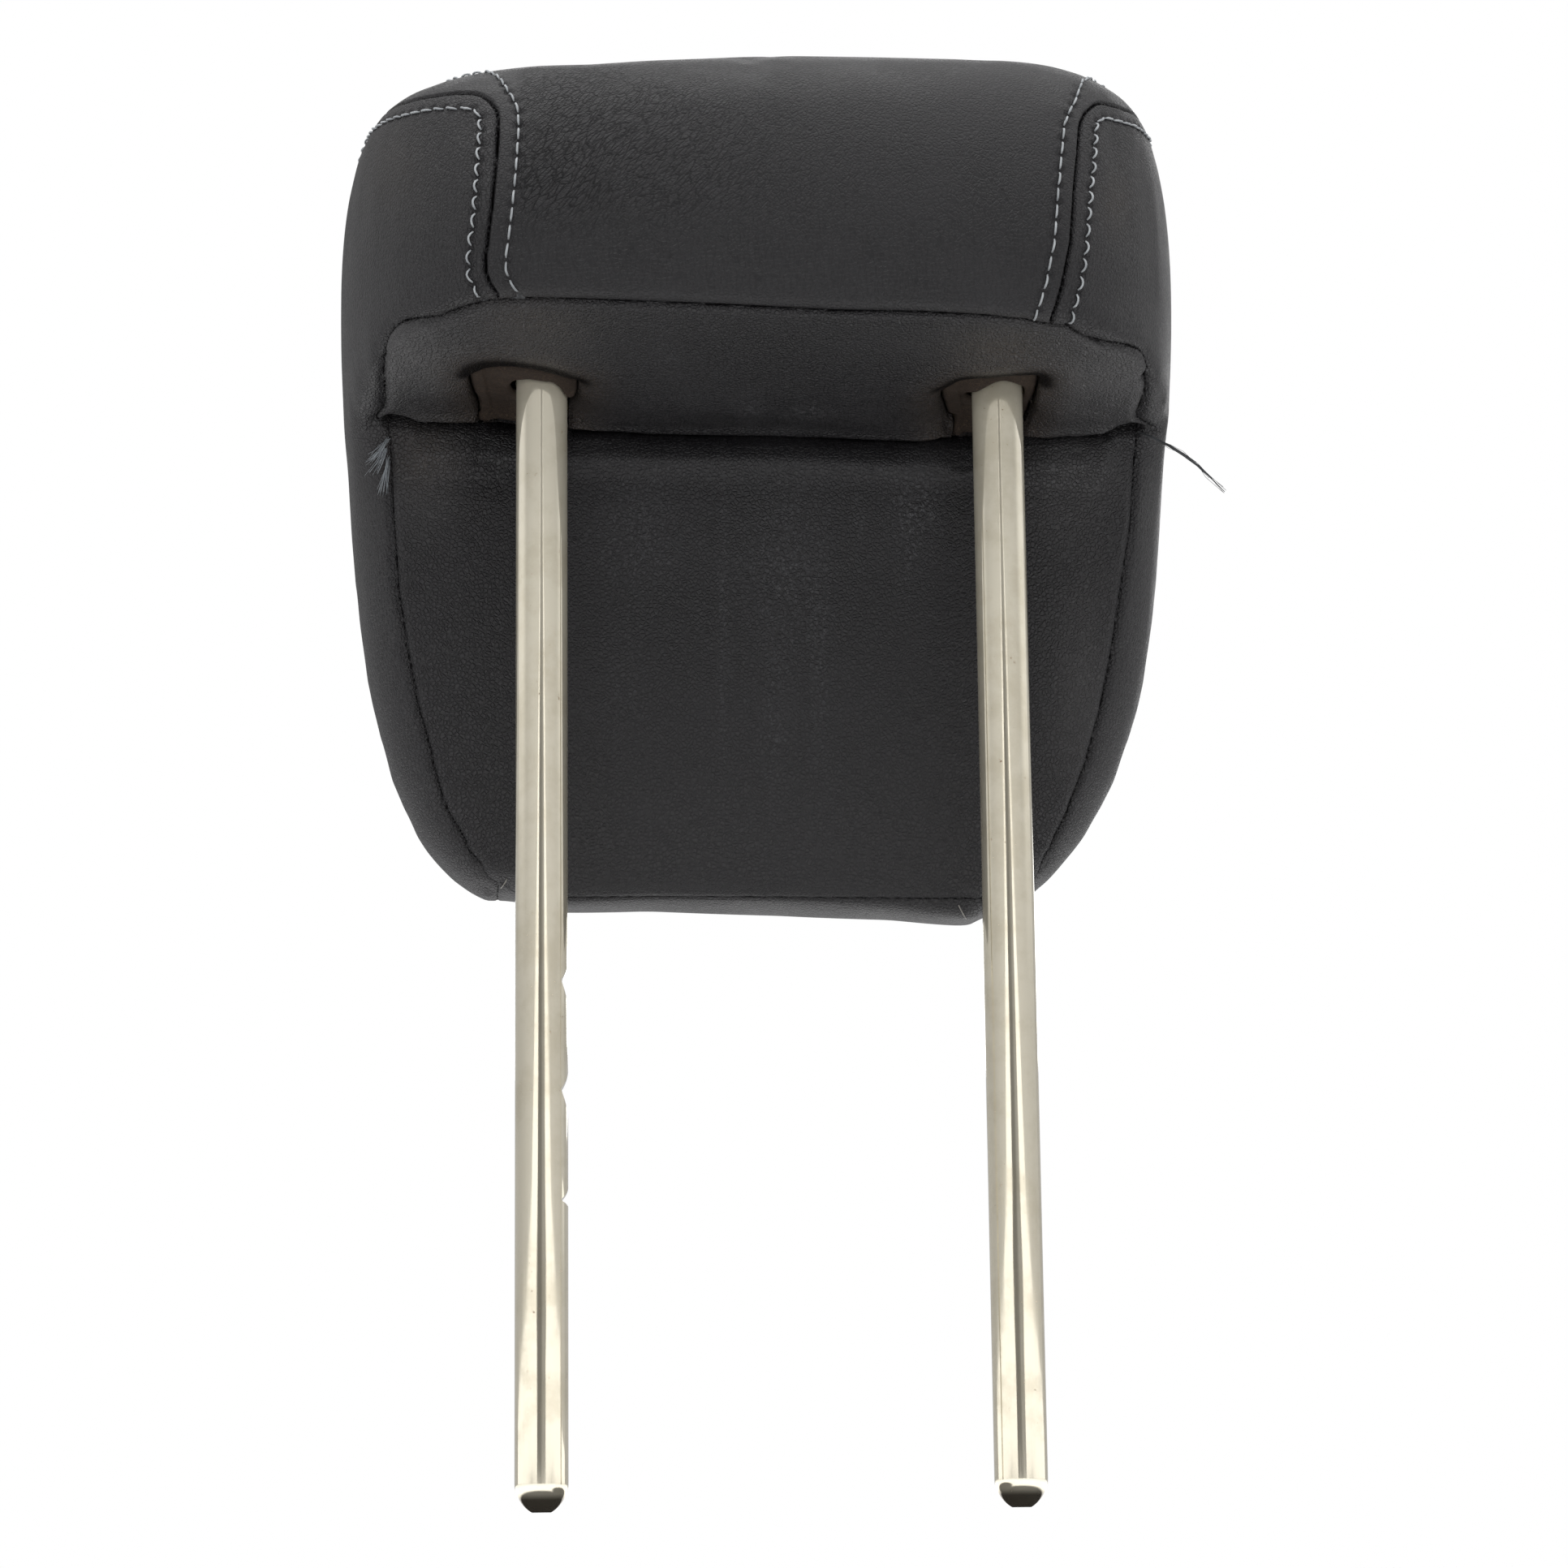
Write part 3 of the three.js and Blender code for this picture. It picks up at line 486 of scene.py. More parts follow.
@dataclass(frozen=True)
class PolyesterThread:
    """Three-ply polyester sewing thread, pale blue-grey and slightly soiled."""

    name: str = "twisted_polyester_thread"
    base: str = "#bfc3c6"
    soiled: str = "#84888d"
    twist_mm: float = 0.8
    soils_per_m: float = 210.0

    def build(self) -> Material:
        """Builds the thread with its twist and its grime.

        Returns:
            The material.
        """
        # Twisted filament has a soft silky highlight on each ply.
        material, shader, place, add = new_material(self.name)
        ply = add(STRIPES_SLANTED, place, 0.05 / (self.twist_mm * MM) * 3.14, 1.0)
        grime = add(NOISE, place, self.soils_per_m, 3.0)
        bump = add(BUMP, ply, 0.5, 0.12 * MM)
        share = add(ADD, add(RAMP, grime, 0.35, 0.75, 0.0, 0.6), add(MULTIPLY, ply, 0.2))
        set_inputs(shader, {"Base Color": add(BLEND, share, linear(self.base), linear(self.soiled)),
                            "Roughness": add(RAMP, ply, 0.0, 1.0, 0.45, 0.65),
                            "Normal": bump,
                            "Sheen Weight": 0.2})
        return material


@dataclass(frozen=True)
class StudioPaper:
    """Matt white paper under the object."""

    paper: str = "#f4f4f4"
    bounce: str = "#b4b4b4"
    # Seen only in mirrors: a painted dark reflection under the tips, and a brighter ring round it.
    mirrored_dark_patch: str = "#181818"
    mirrored_bright_ring: str = "#ececec"
    tip_x: float = 0.0625
    tip_height: float = 0.03
    teeth_per_m: float = 900.0

    def build(self) -> Material:
        """Builds the paper: white to the camera with the shadow kept, greyer to the object, and with painted
        reflections for the tips: a dark patch under them, and a brighter, glowing ring round it, seen only in
        mirrors.

        Returns:
            The material.
        """
        # Paper is flat and dull, with only a faint tooth. Only mirrors see its painted dark patch under the tips
        # and the brighter, glowing ring round it, as painted reflections.
        material, shader, place, add = new_material("matt_white_paper")
        tooth = add(NOISE, place, self.teeth_per_m, 3.0)
        bump = add(BUMP, tooth, 0.05, 0.05 * MM)
        set_inputs(shader, {"Normal": bump})
        away = add(LENGTH, add(OFFSET, add(MIRROR, place), (self.tip_x, 0.0, self.tip_height)))
        glossy = add(IS_GLOSSY)
        # Painted reflections, seen only in mirrors: paler paper near the tips and a dark patch right under them.
        mirrored = add(BLEND, add(RAMP, away, 0.5, 0.2), linear(self.bounce), linear(self.mirrored_bright_ring))
        clear = add(RAMP, away, 0.07, 0.1)
        mirrored = add(BLEND, clear, linear(self.mirrored_dark_patch), mirrored)
        # A painted glow round the dark patch, seen only in mirrors.
        mirrored_glow = add(MULTIPLY, clear, add(RAMP, away, 1.2, 0.6, 0.0, 1.3))
        set_inputs(shader, {"Emission Strength": add(MULTIPLY, mirrored_glow, glossy)})
        seen = add(BLEND, glossy, linear(self.bounce), mirrored)
        set_inputs(shader, {"Base Color": add(BLEND, add(IS_CAMERA), seen, linear(self.paper)),
                            "Roughness": 0.9})
        return material


@dataclass
class Camera:
    """The photograph's viewpoint, found from the ends of the two posts."""

    place_mm: tuple[float, float, float] = (-69.25, -1026.5, -2.96)
    azimuth: float = -4.0
    elevation: float = -10.72
    roll: float = -0.66
    focal_px: float = 4800.0
    sensor_mm: float = 36.0

    def axes(self) -> tuple[Vector, Vector, Vector]:
        """Gives the picture's right and up directions and the way the camera looks.

        Returns:
            Right, up and forward, each of length 1.
        """
        a, e, t = (math.radians(v) for v in (self.azimuth, self.elevation, self.roll))
        forward = -Vector((math.sin(a) * math.cos(e), -math.cos(a) * math.cos(e), math.sin(e)))
        level = forward.cross(Vector((0, 0, 1))).normalized()
        rise = level.cross(forward)
        right = math.cos(t) * level + math.sin(t) * rise
        up = -math.sin(t) * level + math.cos(t) * rise
        return right, up, forward

    def place(self) -> Vector:
        """Gives the camera's place in metres."""
        return Vector(self.place_mm) * MM

    def ray(self, px: float, py: float) -> Vector:
        """Gives the direction in which a pixel of the photograph looks.

        Args:
            px: Pixels from the left edge.
            py: Pixels from the top edge.

        Returns:
            The direction, of length 1.
        """
        right, up, forward = self.axes()
        middle = PICTURE_SIZE / 2
        return (forward + (px - middle) / self.focal_px * right - (py - middle) / self.focal_px * up).normalized()

    def at_depth(self, px: float, py: float, depth_mm: float) -> Vector:
        """Gives the point where a pixel's ray crosses a plane of constant y.

        Args:
            px: Pixels from the left edge.
            py: Pixels from the top edge.
            depth_mm: The plane's y in millimetres.

        Returns:
            The point in metres.
        """
        ray = self.ray(px, py)
        return self.place() + ray * ((depth_mm * MM - self.place().y) / ray.y)

    def pixels(self, points: np.ndarray) -> np.ndarray:
        """Projects points into the photograph.

        Args:
            points: Rows of x, y, z in metres.

        Returns:
            Rows of pixel columns and rows.
        """
        right, up, forward = (np.array(v) for v in self.axes())
        away = points - np.array(self.place())
        depth = away @ forward
        middle = PICTURE_SIZE / 2
        return np.stack([middle + self.focal_px * (away @ right) / depth,
                         middle - self.focal_px * (away @ up) / depth], -1)

    def build(self) -> Object:
        """Adds the camera and makes it the scene's camera.

        Returns:
            The camera object.
        """
        right, up, forward = self.axes()
        data = bpy.data.cameras.new("viewpoint")
        data.sensor_width = self.sensor_mm
        data.sensor_fit = "HORIZONTAL"
        data.lens = self.focal_px / PICTURE_SIZE * self.sensor_mm
        data.clip_start = 0.05
        data.clip_end = 50.0
        view = bpy.data.objects.new("viewpoint", data)
        bpy.context.scene.collection.objects.link(view)
        turn = Matrix((right, up, -forward)).transposed().to_4x4()
        view.matrix_world = Matrix.Translation(self.place()) @ turn
        bpy.context.scene.camera = view
        return view


@dataclass
class Studio:
    """Soft lamps, a white surround and a pale floor just below the post tips."""

    floor_drop_mm: float = 30.0
    floor_size: float = 2.0
    surround: float = 0.36
    room_grey: float = 0.78
    room_side: float = 0.5
    sheet_level: float = 1.85
    gap_level: float = 0.02
    gap_right_level: float = 0.3
    behind_level: float = 0.52
    side_glow: float = 1.2
    gap_azimuth: float = 1.0
    sheet_widths: Table = (
        (0.4, 120.0), (0.8, 112.0), (1.7, 70.0), (3.7, 43.0), (10.3, 18.0), (15.0, 7.0), (20.0, 3.5))
    gap_widths: Table = ((0.4, 18.0), (1.7, 22.0), (3.7, 16.0), (10.3, 11.0), (15.0, 4.5), (20.0, 4.0))
    lamps: list[tuple[str, tuple[float, float, float], float, float]] = field(default_factory=lambda: [
        ("key_softbox", (-0.7, -1.1, 2.1), 1.1, 16.0),
        ("fill_softbox", (1.1, -0.9, 2.0), 1.2, 8.0),
        ("top_softbox", (0.0, 0.3, 1.9), 1.3, 8.0),
        ("front_softbox", (0.3, 1.7, 0.9), 1.2, 13.0),
        ("left_softbox", (-1.15, 1.25, 0.3), 0.8, 2.5),
        ("right_softbox", (1.15, 1.25, 0.25), 0.8, 2.5),
        ("rear_softbox", (0.0, -1.7, 0.3), 1.4, 7.5),
    ])
    aim: tuple[float, float, float] = (0.0, 0.0, 0.27)

    def floor(self) -> Object:
        """Lays the floor.

        Returns:
            The floor object.
        """
        bpy.ops.object.select_all(action="DESELECT")
        bpy.ops.mesh.primitive_plane_add(size=self.floor_size, location=(0, 0, -self.floor_drop_mm * MM))
        paper = bpy.context.active_object
        paper.name = "studio_floor"
        bpy.ops.object.transform_apply(location=True, rotation=False, scale=False)
        paper.data.materials.append(StudioPaper().build())
        return paper

    def light(self) -> None:
        """Hangs the soft lamps and aims them at the head."""
        for name, place, size, power in self.lamps:
            lamp = bpy.data.lights.new(name, "AREA")
            lamp.shape = "SQUARE"
            lamp.size = size
            lamp.energy = power
            hung = bpy.data.objects.new(name, lamp)
            bpy.context.scene.collection.objects.link(hung)
            hung.location = place
            hung.visible_glossy = name in ("key_softbox", "fill_softbox", "top_softbox", "front_softbox")
            hung.rotation_euler = (Vector(self.aim) - Vector(place)).to_track_quat("-Z", "Y").to_euler()

    def sky(self) -> None:
        """Surrounds the scene with white for the camera and a softer grey room for the light."""
        world = bpy.data.worlds.new("studio_surround")
        bpy.context.scene.world = world
        world.use_nodes = True
        tree = world.node_tree
        tree.nodes.clear()
        way = add_node(tree, "ShaderNodeTexCoord").outputs["Generated"]
        axis = add_node(tree, "ShaderNodeSeparateXYZ", inputs={"Vector": way})
        add = partial(add_step, tree)
        behind = self.mirrored_room(tree, axis)
        seen = add(MIX, add(IS_GLOSSY), self.surround, behind)
        level = add(MIX, add(MAXIMUM, add(IS_CAMERA), add(IS_TRANSMISSION)), seen, 1.0)
        glow = add_node(tree, "ShaderNodeBackground", inputs={"Strength": level, "Color": (1.0, 1.0, 1.0, 1.0)})
        add_node(tree, "ShaderNodeOutputWorld", inputs={"Surface": glow.outputs[0]})

    def mirrored_room(self, tree: NodeTree, axis: Node) -> NodeSocket:
        """Makes the room that polished metal mirrors: pale walls, and a bright sheet with a dark gap in it.

        Args:
            tree: The world's node tree.
            axis: The node that gives the direction's x, y and z.

        Returns:
            The room's brightness in each direction.
        """
        add = partial(add_step, tree)
        back = add(MULTIPLY, axis.outputs["Y"], -1.0)
        around = add(ARCTAN2, axis.outputs["X"], back)
        around = add(ADD, around, math.radians(self.gap_azimuth))
        side = around
        around = add(MULTIPLY, add(ABSOLUTE, around), 1 / math.radians(120))
        rise = add(MULTIPLY, axis.outputs["Z"], 1 / math.sin(math.radians(20)))
        sheet = self.width_over_height(tree, rise, self.sheet_widths)
        gap = self.width_over_height(tree, rise, self.gap_widths)
        beyond = add(SUBTRACT, around, sheet)
        far = add(MULTIPLY, add(RAMP, around, 0.15, 0.95), self.room_grey - self.room_side)
        far = add(MULTIPLY, far, add(RAMP, side, -0.05, 0.05, 1.0, 0.45))
        room = add(SUBTRACT, self.room_grey, far)
        level = add(MIX, add(RAMP, beyond, -0.004, 0.004), self.sheet_level, room)
        edge = add(MULTIPLY, add(RAMP, beyond, 0.0, 0.006), add(RAMP, beyond, 0.022, 0.012))
        level = add(SUBTRACT, level, add(MULTIPLY, edge, 0.3))
        shade = add(RAMP, side, -0.05, 0.12, self.gap_level, self.gap_right_level)
        inside = add(RAMP, add(SUBTRACT, around, gap), 0.006, -0.006)
        level = add(MIX, inside, level, shade)
        glow = add(MULTIPLY, add(RAMP, rise, 0.3, 1.0), add(RAMP, around, 0.55, 0.8, 0.0, self.side_glow))
        level = add(ADD, level, glow)
        level = add(MULTIPLY, level, add(RAMP, rise, 0.95, 1.4, 1.0, 0.84))
        level = add(MULTIPLY, level, add(RAMP, rise, -0.2, -0.03, 0.5, 1.0))
        backdrop = add(RAMP, around, 0.98, 1.05)
        return add(MIX, backdrop, level, self.behind_level)

    @staticmethod
    def width_over_height(tree: NodeTree, rise: NodeSocket,
                          stops: Table) -> NodeSocket:
        """Gives an angle's half width at each height.

        Args:
            tree: The world's node tree.
            rise: Height of the direction, 1 at 20 degrees.
            stops: Pairs of a height and a half width, both in degrees.

        Returns:
            The half width as a share of 120 degrees.
        """
        node = add_node(tree, "ShaderNodeValToRGB", inputs={"Fac": rise})
        marks = node.color_ramp.elements
        while len(marks) < len(stops):
            marks.new(0.5)
        for mark, (height, width) in zip(marks, stops):
            mark.position = height / 20
            mark.color = (width / 120,) * 3 + (1.0,)
        return add_node(tree, "ShaderNodeRGBToBW", inputs={"Color": node.outputs["Color"]}).outputs[0]

    def build(self) -> None:
        """Sets up floor, lamps, surround and plain colours."""
        self.floor()
        self.light()
        self.sky()
        bpy.context.scene.view_settings.view_transform = "Standard"


def activate(piece: Object) -> None:
    """Selects one object alone and makes it active."""
    if bpy.context.object and bpy.context.object.mode != "OBJECT":
        bpy.ops.object.mode_set(mode="OBJECT")
    bpy.ops.object.select_all(action="DESELECT")
    piece.select_set(True)
    bpy.context.view_layer.objects.active = piece


def link_mesh(name: str, mesh: Mesh) -> Object:
    """Makes an object of a mesh at the origin.

    Args:
        name: The object's name.
        mesh: Its mesh.

    Returns:
        The object, in the scene.
    """
    piece = bpy.data.objects.new(name, mesh)
    bpy.context.scene.collection.objects.link(piece)
    return piece


def place_piece(piece: Object, material: Material, nodes: tuple[str, ...] = ()) -> None:
    """Finishes a piece with its material, hangs it on the body that it rides on, and hides the CAD nodes that it
    stands for.

    Args:
        piece: The piece.
        material: Its material.
        nodes: The CAD nodes that it stands for.
    """
    piece.data.materials.clear()
    piece.data.materials.append(material)
    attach(piece, BODY)
    if nodes:
        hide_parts(*nodes)
    LOG.info("%s: %d faces", piece.name, len(piece.data.polygons))


def apply_modifier(piece: Object, kind: str, **settings: object) -> None:
    """Adds a modifier to a piece and applies it.

    Args:
        piece: The piece.
        kind: The modifier's type name.
        settings: Attributes of the modifier.
    """
    activate(piece)
    modifier = piece.modifiers.new(kind.lower(), kind)
    for name, value in settings.items():
        setattr(modifier, name, value)
    bpy.ops.object.modifier_apply(modifier=modifier.name)


def coordinates(mesh: Mesh) -> np.ndarray:
    """Reads a mesh's vertices as rows of x, y, z."""
    flat = np.zeros(len(mesh.vertices) * 3)
    mesh.vertices.foreach_get("co", flat)
    return flat.reshape(-1, 3)


def directions(mesh: Mesh) -> np.ndarray:
    """Reads a mesh's vertex normals as rows of x, y, z."""
    flat = np.zeros(len(mesh.vertices) * 3)
    mesh.vertex_normals.foreach_get("vector", flat)
    return flat.reshape(-1, 3)


def write_coordinates(mesh: Mesh, points: np.ndarray) -> None:
    """Writes rows of x, y, z to a mesh's vertices."""
    mesh.vertices.foreach_set("co", points.ravel())
    mesh.update()


def smooth(share: np.ndarray) -> np.ndarray:
    """Clamps to 0..1 and eases both ends."""
    t = np.clip(share, 0.0, 1.0)
    return t * t * (3 - 2 * t)


def rolled(distance: np.ndarray, width: float, depth: float) -> np.ndarray:
    """Gives the depth of a leather edge that rolls down into a seam.

    Args:
        distance: Distance from the seam.
        width: How far from the seam the roll begins.
        depth: How deep it reaches at the seam.

    Returns:
        Depths, 0 beyond the width.
    """
    near = 1 - np.clip(distance / width, 0.0, 1.0)
    return depth * (1 - np.sqrt(np.clip(1 - near ** 2, 0.0, 1.0)))


@dataclass
class SlotShape:
    """A post's slot in the underside: arched at the rear, and open towards the crease."""

    post_x: float
    wall_x: tuple[float, float]
    corners: Table

    def outline(self) -> np.ndarray:
        """Gives the outline as closely spaced points on a smooth curve through the corners.

        Returns:
            Rows of x and y in millimetres.
        """
        mirrored_glow = np.array(self.corners)
        before, after, beyond = (np.roll(mirrored_glow, k, axis=0) for k in (1, -1, -2))
        points = []
        for t in (0.0, 0.25, 0.5, 0.75):
            square = 2 * before - 5 * mirrored_glow + 4 * after - beyond
            cube = 3 * mirrored_glow - before - 3 * after + beyond
            points.append(0.5 * (2 * mirrored_glow + (after - before) * t + square * t ** 2 + cube * t ** 3))
        return np.stack(points, axis=1).reshape(-1, 2)

    def snapped(self, x: float, y: float, gap: float) -> tuple[float, float]:
        """Moves a point near the outline to a given distance outside it.

        Args:
            x: The point's place across, in millimetres.
            y: Its place from rear to front.
            gap: The distance wanted, negative inside.

        Returns:
            The moved point.
        """
        step = 0.05
        for _ in range(3):
            here, right, front = self.distance(np.array([x, x + step, x]), np.array([y, y, y + step]))
            x, y = x - (here - gap) * (right - here) / step, y - (here - gap) * (front - here) / step
        return x, y

    def distance(self, x: np.ndarray, y: np.ndarray) -> np.ndarray:
        """Measures how far points lie outside the outline.

        Args:
            x: Places across, in millimetres.
            y: Places from rear to front, in millimetres.

        Returns:
            Distances in millimetres, negative inside.
        """
        mirrored_glow = self.outline()
        best = np.full(np.shape(x), 1e9)
        inside = np.zeros(np.shape(x), bool)
        for (ax, ay), (bx, by) in zip(mirrored_glow, np.roll(mirrored_glow, -1, axis=0)):
            ux, uy = bx - ax, by - ay
            share = np.clip(((x - ax) * ux + (y - ay) * uy) / (ux * ux + uy * uy), 0, 1)
            best = np.minimum(best, np.hypot(x - ax - share * ux, y - ay - share * uy))
            crosses = (ay > y) != (by > y)
            inside ^= crosses & (x < ax + (y - ay) * ux / (uy if abs(uy) > 1e-9 else 1e-9))
        return np.where(inside, -best, best)


SLOTS = (
    SlotShape(-62.5, (-82.3, -80.0), (
        (-82.4, -5.7), (-81.7, -11.0), (-79.7, -12.7), (-77.3, -13.8), (-73.0, -14.5), (-68.6, -14.5),
        (-64.2, -14.1), (-59.9, -13.0), (-55.5, -11.0), (-52.6, -8.4), (-53.7, 4.4), (-54.9, 17.7),
        (-56.0, 25.0), (-68.0, 26.0), (-79.5, 25.0), (-80.0, 17.5), (-80.4, 13.5))),
    SlotShape(62.5, (46.2, 51.5), (
        (46.2, -6.3), (48.2, -10.3), (51.2, -13.3), (54.9, -13.9), (58.9, -14.0), (63.3, -14.6), (67.7, -14.9),
        (72.6, -13.3), (73.1, 1.3), (72.9, 13.6), (72.2, 17.8), (71.5, 25.0), (62.0, 26.0), (53.0, 25.0),
        (52.5, 19.6), (50.6, 17.8), (48.5, 9.0))),
)


@dataclass
class HeadCover:
    """The padded leather cover: one swollen form, sewn from seven panels."""

    camera: Camera
    voxel_mm: float = 4.0
    swell_cap_mm: float = 5.0
    start_inset_mm: float = 1.2
    leather_mm: float = 1.8
    seam_hold_mm: float = 5.0
    cloth_frames: int = 20
    cloth_stiffness: float = 18.0
    cloth_pressure: float = 12.0
    quick_swell_mm: float = 3.2
    centre_rows_mm: tuple[float, float] = (5.6, 4.7)
    side_rows_mm: tuple[float, float] = (5.0, 5.1)
    left_seam: Table = (
        (305, -73.4), (312, -73.8), (314.6, -74.6), (317, -76.4), (320, -77.6), (324, -77.7), (327, -77.2),
        (338, -75.9), (350, -74.9), (359, -74.5), (380, -74.2))
    right_seam: Table = (
        (305, 71.0), (309.3, 72.3), (314, 73.8), (318.2, 75.0), (328.8, 77.2), (345.2, 78.9), (360.7, 81.1),
        (373.9, 83.0), (385, 84.4))
    crown_seam: Table = (
        (-46, 370.0), (-35, 373.2), (-29.6, 375.0), (-8.5, 379.4), (15, 383.0), (89, 370.0))
    twin_corner_mm: float = 9.0
    dents: Marks = (
        (1413, 467, 9, 3.2, 1.1), (1373, 180, 7, 24, 0.7), (1395, 168, 7, 20, -0.5), (545, 330, 30, 50, 0.5),
        (640, 372, 8, 5, 0.5), (1262, 398, 10, 5, 0.5))
    far_mm: float = 30.0
    fills: tuple[tuple[float, float, float, float, float, float], ...] = (
        (-92.0, 92.0, -20.0, 20.0, 312.0, 376.0),
        (-98.0, 98.0, 20.0, 40.0, 284.0, 306.0),
        (-84.0, -48.0, -14.0, 21.0, 300.0, 320.0),
        (43.0, 76.0, -14.0, 21.0, 300.0, 320.0),
    )
    left_trim: Table = (
        (163, 1.8), (172, 3.0), (182, 3.0), (191, 2.4), (200, 2.0), (219, 1.3), (256, 0.6), (292, 0.8),
        (305, 1.7), (321, 2.2), (340, 2.4), (378, 2.6), (390, 2.2))
    right_trim: Table = (
        (163, -2.5), (172, -3.0), (182, -2.4), (191, -1.7), (200, -1.1), (225, 0.0))
    crown_trim: Table = (
        (-118, 0.0), (-90, -0.8), (-70, -1.0), (-50, -0.8), (-35, 0.5), (-20, 1.3), (0, 2.6), (36, 2.4),
        (58, 2.2), (76, 3.2), (86, 3.5), (96, 3.0), (118, 2.4))
    hem_trim: Table = (
        (-80, 0.0), (-54, 2.0), (-32, 3.3), (-13, 2.9), (5, 2.4), (37, 0.6), (50, -1.2), (61, -2.6), (72, -1.2),
        (80, 0.0))
    crease_trim: Table = (
        (-105, 0.4), (-85, 2.1), (-75, 1.7), (-62, 1.0), (-50, 1.9), (-32, 1.5), (0, 2.1), (15, 1.5), (25, 0.9),
        (40, 0.0))
    roll_drop: Table = (
        (-118, 2.0), (-100, 3.0), (-95, 4.0), (-90, 4.4), (-82, 3.0), (-70, 2.3), (-30, 2.4), (0, 3.1),
        (15, 3.4), (35, 2.9), (55, 3.4), (68, 5.2), (76, 5.9), (87, 5.6), (95, 5.2), (105, 3.8), (118, 2.0))
    left_gusset: Table = (
        (175, 2.5), (186, 2.5), (195, 1.8), (208, 2.3), (218, 1.1), (231, 0.1), (252, -1.7), (272, -2.4),
        (286, -3.0), (300, -3.4))
    right_gusset: Table = (
        (175, -3.0), (186, -4.2), (195, -5.0), (208, -3.9), (218, -3.1), (231, -2.0), (252, -0.2), (272, 2.4),
        (286, 3.4), (300, 3.8))
    flap_scuffs: Marks = (
        (785, 655, 50, 75, 0.5), (892, 760, 5, 200, 0.45), (965, 690, 45, 110, 0.5), (1060, 635, 7, 45, 0.4),
        (1130, 620, 34, 40, 0.8), (1120, 680, 12, 60, 0.5), (955, 880, 16, 80, 0.35), (1010, 800, 12, 120, 0.4),
        (770, 850, 30, 90, 0.2))
    roll_scuffs: Marks = (
        (925, 505, 16, 14, 0.9), (985, 512, 28, 9, 0.9), (825, 440, 12, 8, 0.3), (1000, 505, 12, 9, 0.6))
    brown_marks: Marks = (
        (520, 560, 40, 40, 0.5), (1235, 430, 60, 24, 0.6), (650, 400, 60, 30, 0.4), (480, 200, 40, 60, 0.25),
        (1375, 250, 20, 40, 0.4))
    # Patches of painted light, paler places on the roll and the flap: middle, half width, half height and strength.
    painted_light_marks: Marks = (
        (498, 440, 48, 60, 0.85), (1352, 475, 48, 50, 1.0), (650, 410, 70, 40, 0.3), (1260, 430, 60, 30, 0.3),
        (528, 600, 40, 60, 0.45), (1315, 610, 50, 60, 0.55), (1335, 850, 40, 140, 0.45))
    hem_drop_mm: float = 3.4
    roll_end_mm: float = 2.2
    crown_growth_mm: float = 12.0
    felts: list[Mesh] = field(default_factory=list)
    panels: dict[Panel, Object] = field(default_factory=dict)
    rows: list[np.ndarray] = field(default_factory=list)

    def start_form(self) -> Object:
        """Joins copies of the cover's and the foam's solids and remeshes them as one closed form.

        Returns:
            The form, of even square faces.
        """
        joined = bmesh.new()
        for name in [*PANEL_NODES.values(), "foam_core"]:
            joined.from_mesh(bpy.data.objects[name].data)
        for x0, x1, y0, y1, z0, z1 in self.fills:
            size = Matrix.Diagonal(((x1 - x0) * MM, (y1 - y0) * MM, (z1 - z0) * MM, 1.0))
            middle = Matrix.Translation(Vector((x0 + x1, y0 + y1, z0 + z1)) * MM / 2)
            bmesh.ops.create_cube(joined, size=1.0, matrix=middle @ size)
        bmesh.ops.remove_doubles(joined, verts=joined.verts, dist=1e-6)
        mesh = bpy.data.meshes.new("head_form")
        joined.to_mesh(mesh)
        joined.free()
        form = link_mesh("head_form", mesh)
        activate(form)
        mesh.remesh_voxel_size = self.voxel_mm * MM
        mesh.remesh_voxel_adaptivity = 0.0
        bpy.ops.object.voxel_remesh()
        self.keep_largest(form.data)
        turns = np.zeros(len(form.data.polygons) * 3)
        form.data.polygons.foreach_get("normal", turns)
        self.form_turns = turns.reshape(-1, 3)
        corners = [tuple(p.vertices) for p in form.data.polygons]
        self.form_tree = BVHTree.FromPolygons(coordinates(form.data).tolist(), corners)
        LOG.info("head form: %d faces", len(form.data.polygons))
        return form

    @staticmethod
    def keep_largest(mesh: Mesh) -> None:
        """Deletes all but the largest connected part of a mesh."""
        shape = bmesh.new()
        shape.from_mesh(mesh)
        left = set(shape.verts)
        groups = []
        while left:
            seed = left.pop()
            group, edge = {seed}, [seed]
            while edge:
                vert = edge.pop()
                for link in vert.link_edges:
                    other = link.other_vert(vert)
                    if other in left:
                        left.discard(other)
                        group.add(other)
                        edge.append(other)
            groups.append(group)
        groups.sort(key=len, reverse=True)
        for group in groups[1:]:
            bmesh.ops.delete(shape, geom=list(group), context="VERTS")
        shape.to_mesh(mesh)
        shape.free()

    def panel_trees(self) -> list[BVHTree]:
        """Builds a search tree for each CAD panel, in the order of Panel."""
        trees = []
        for panel in Panel:
            shape = bmesh.new()
            shape.from_mesh(bpy.data.objects[PANEL_NODES[panel]].data)
            trees.append(BVHTree.FromBMesh(shape))
            shape.free()
        return trees

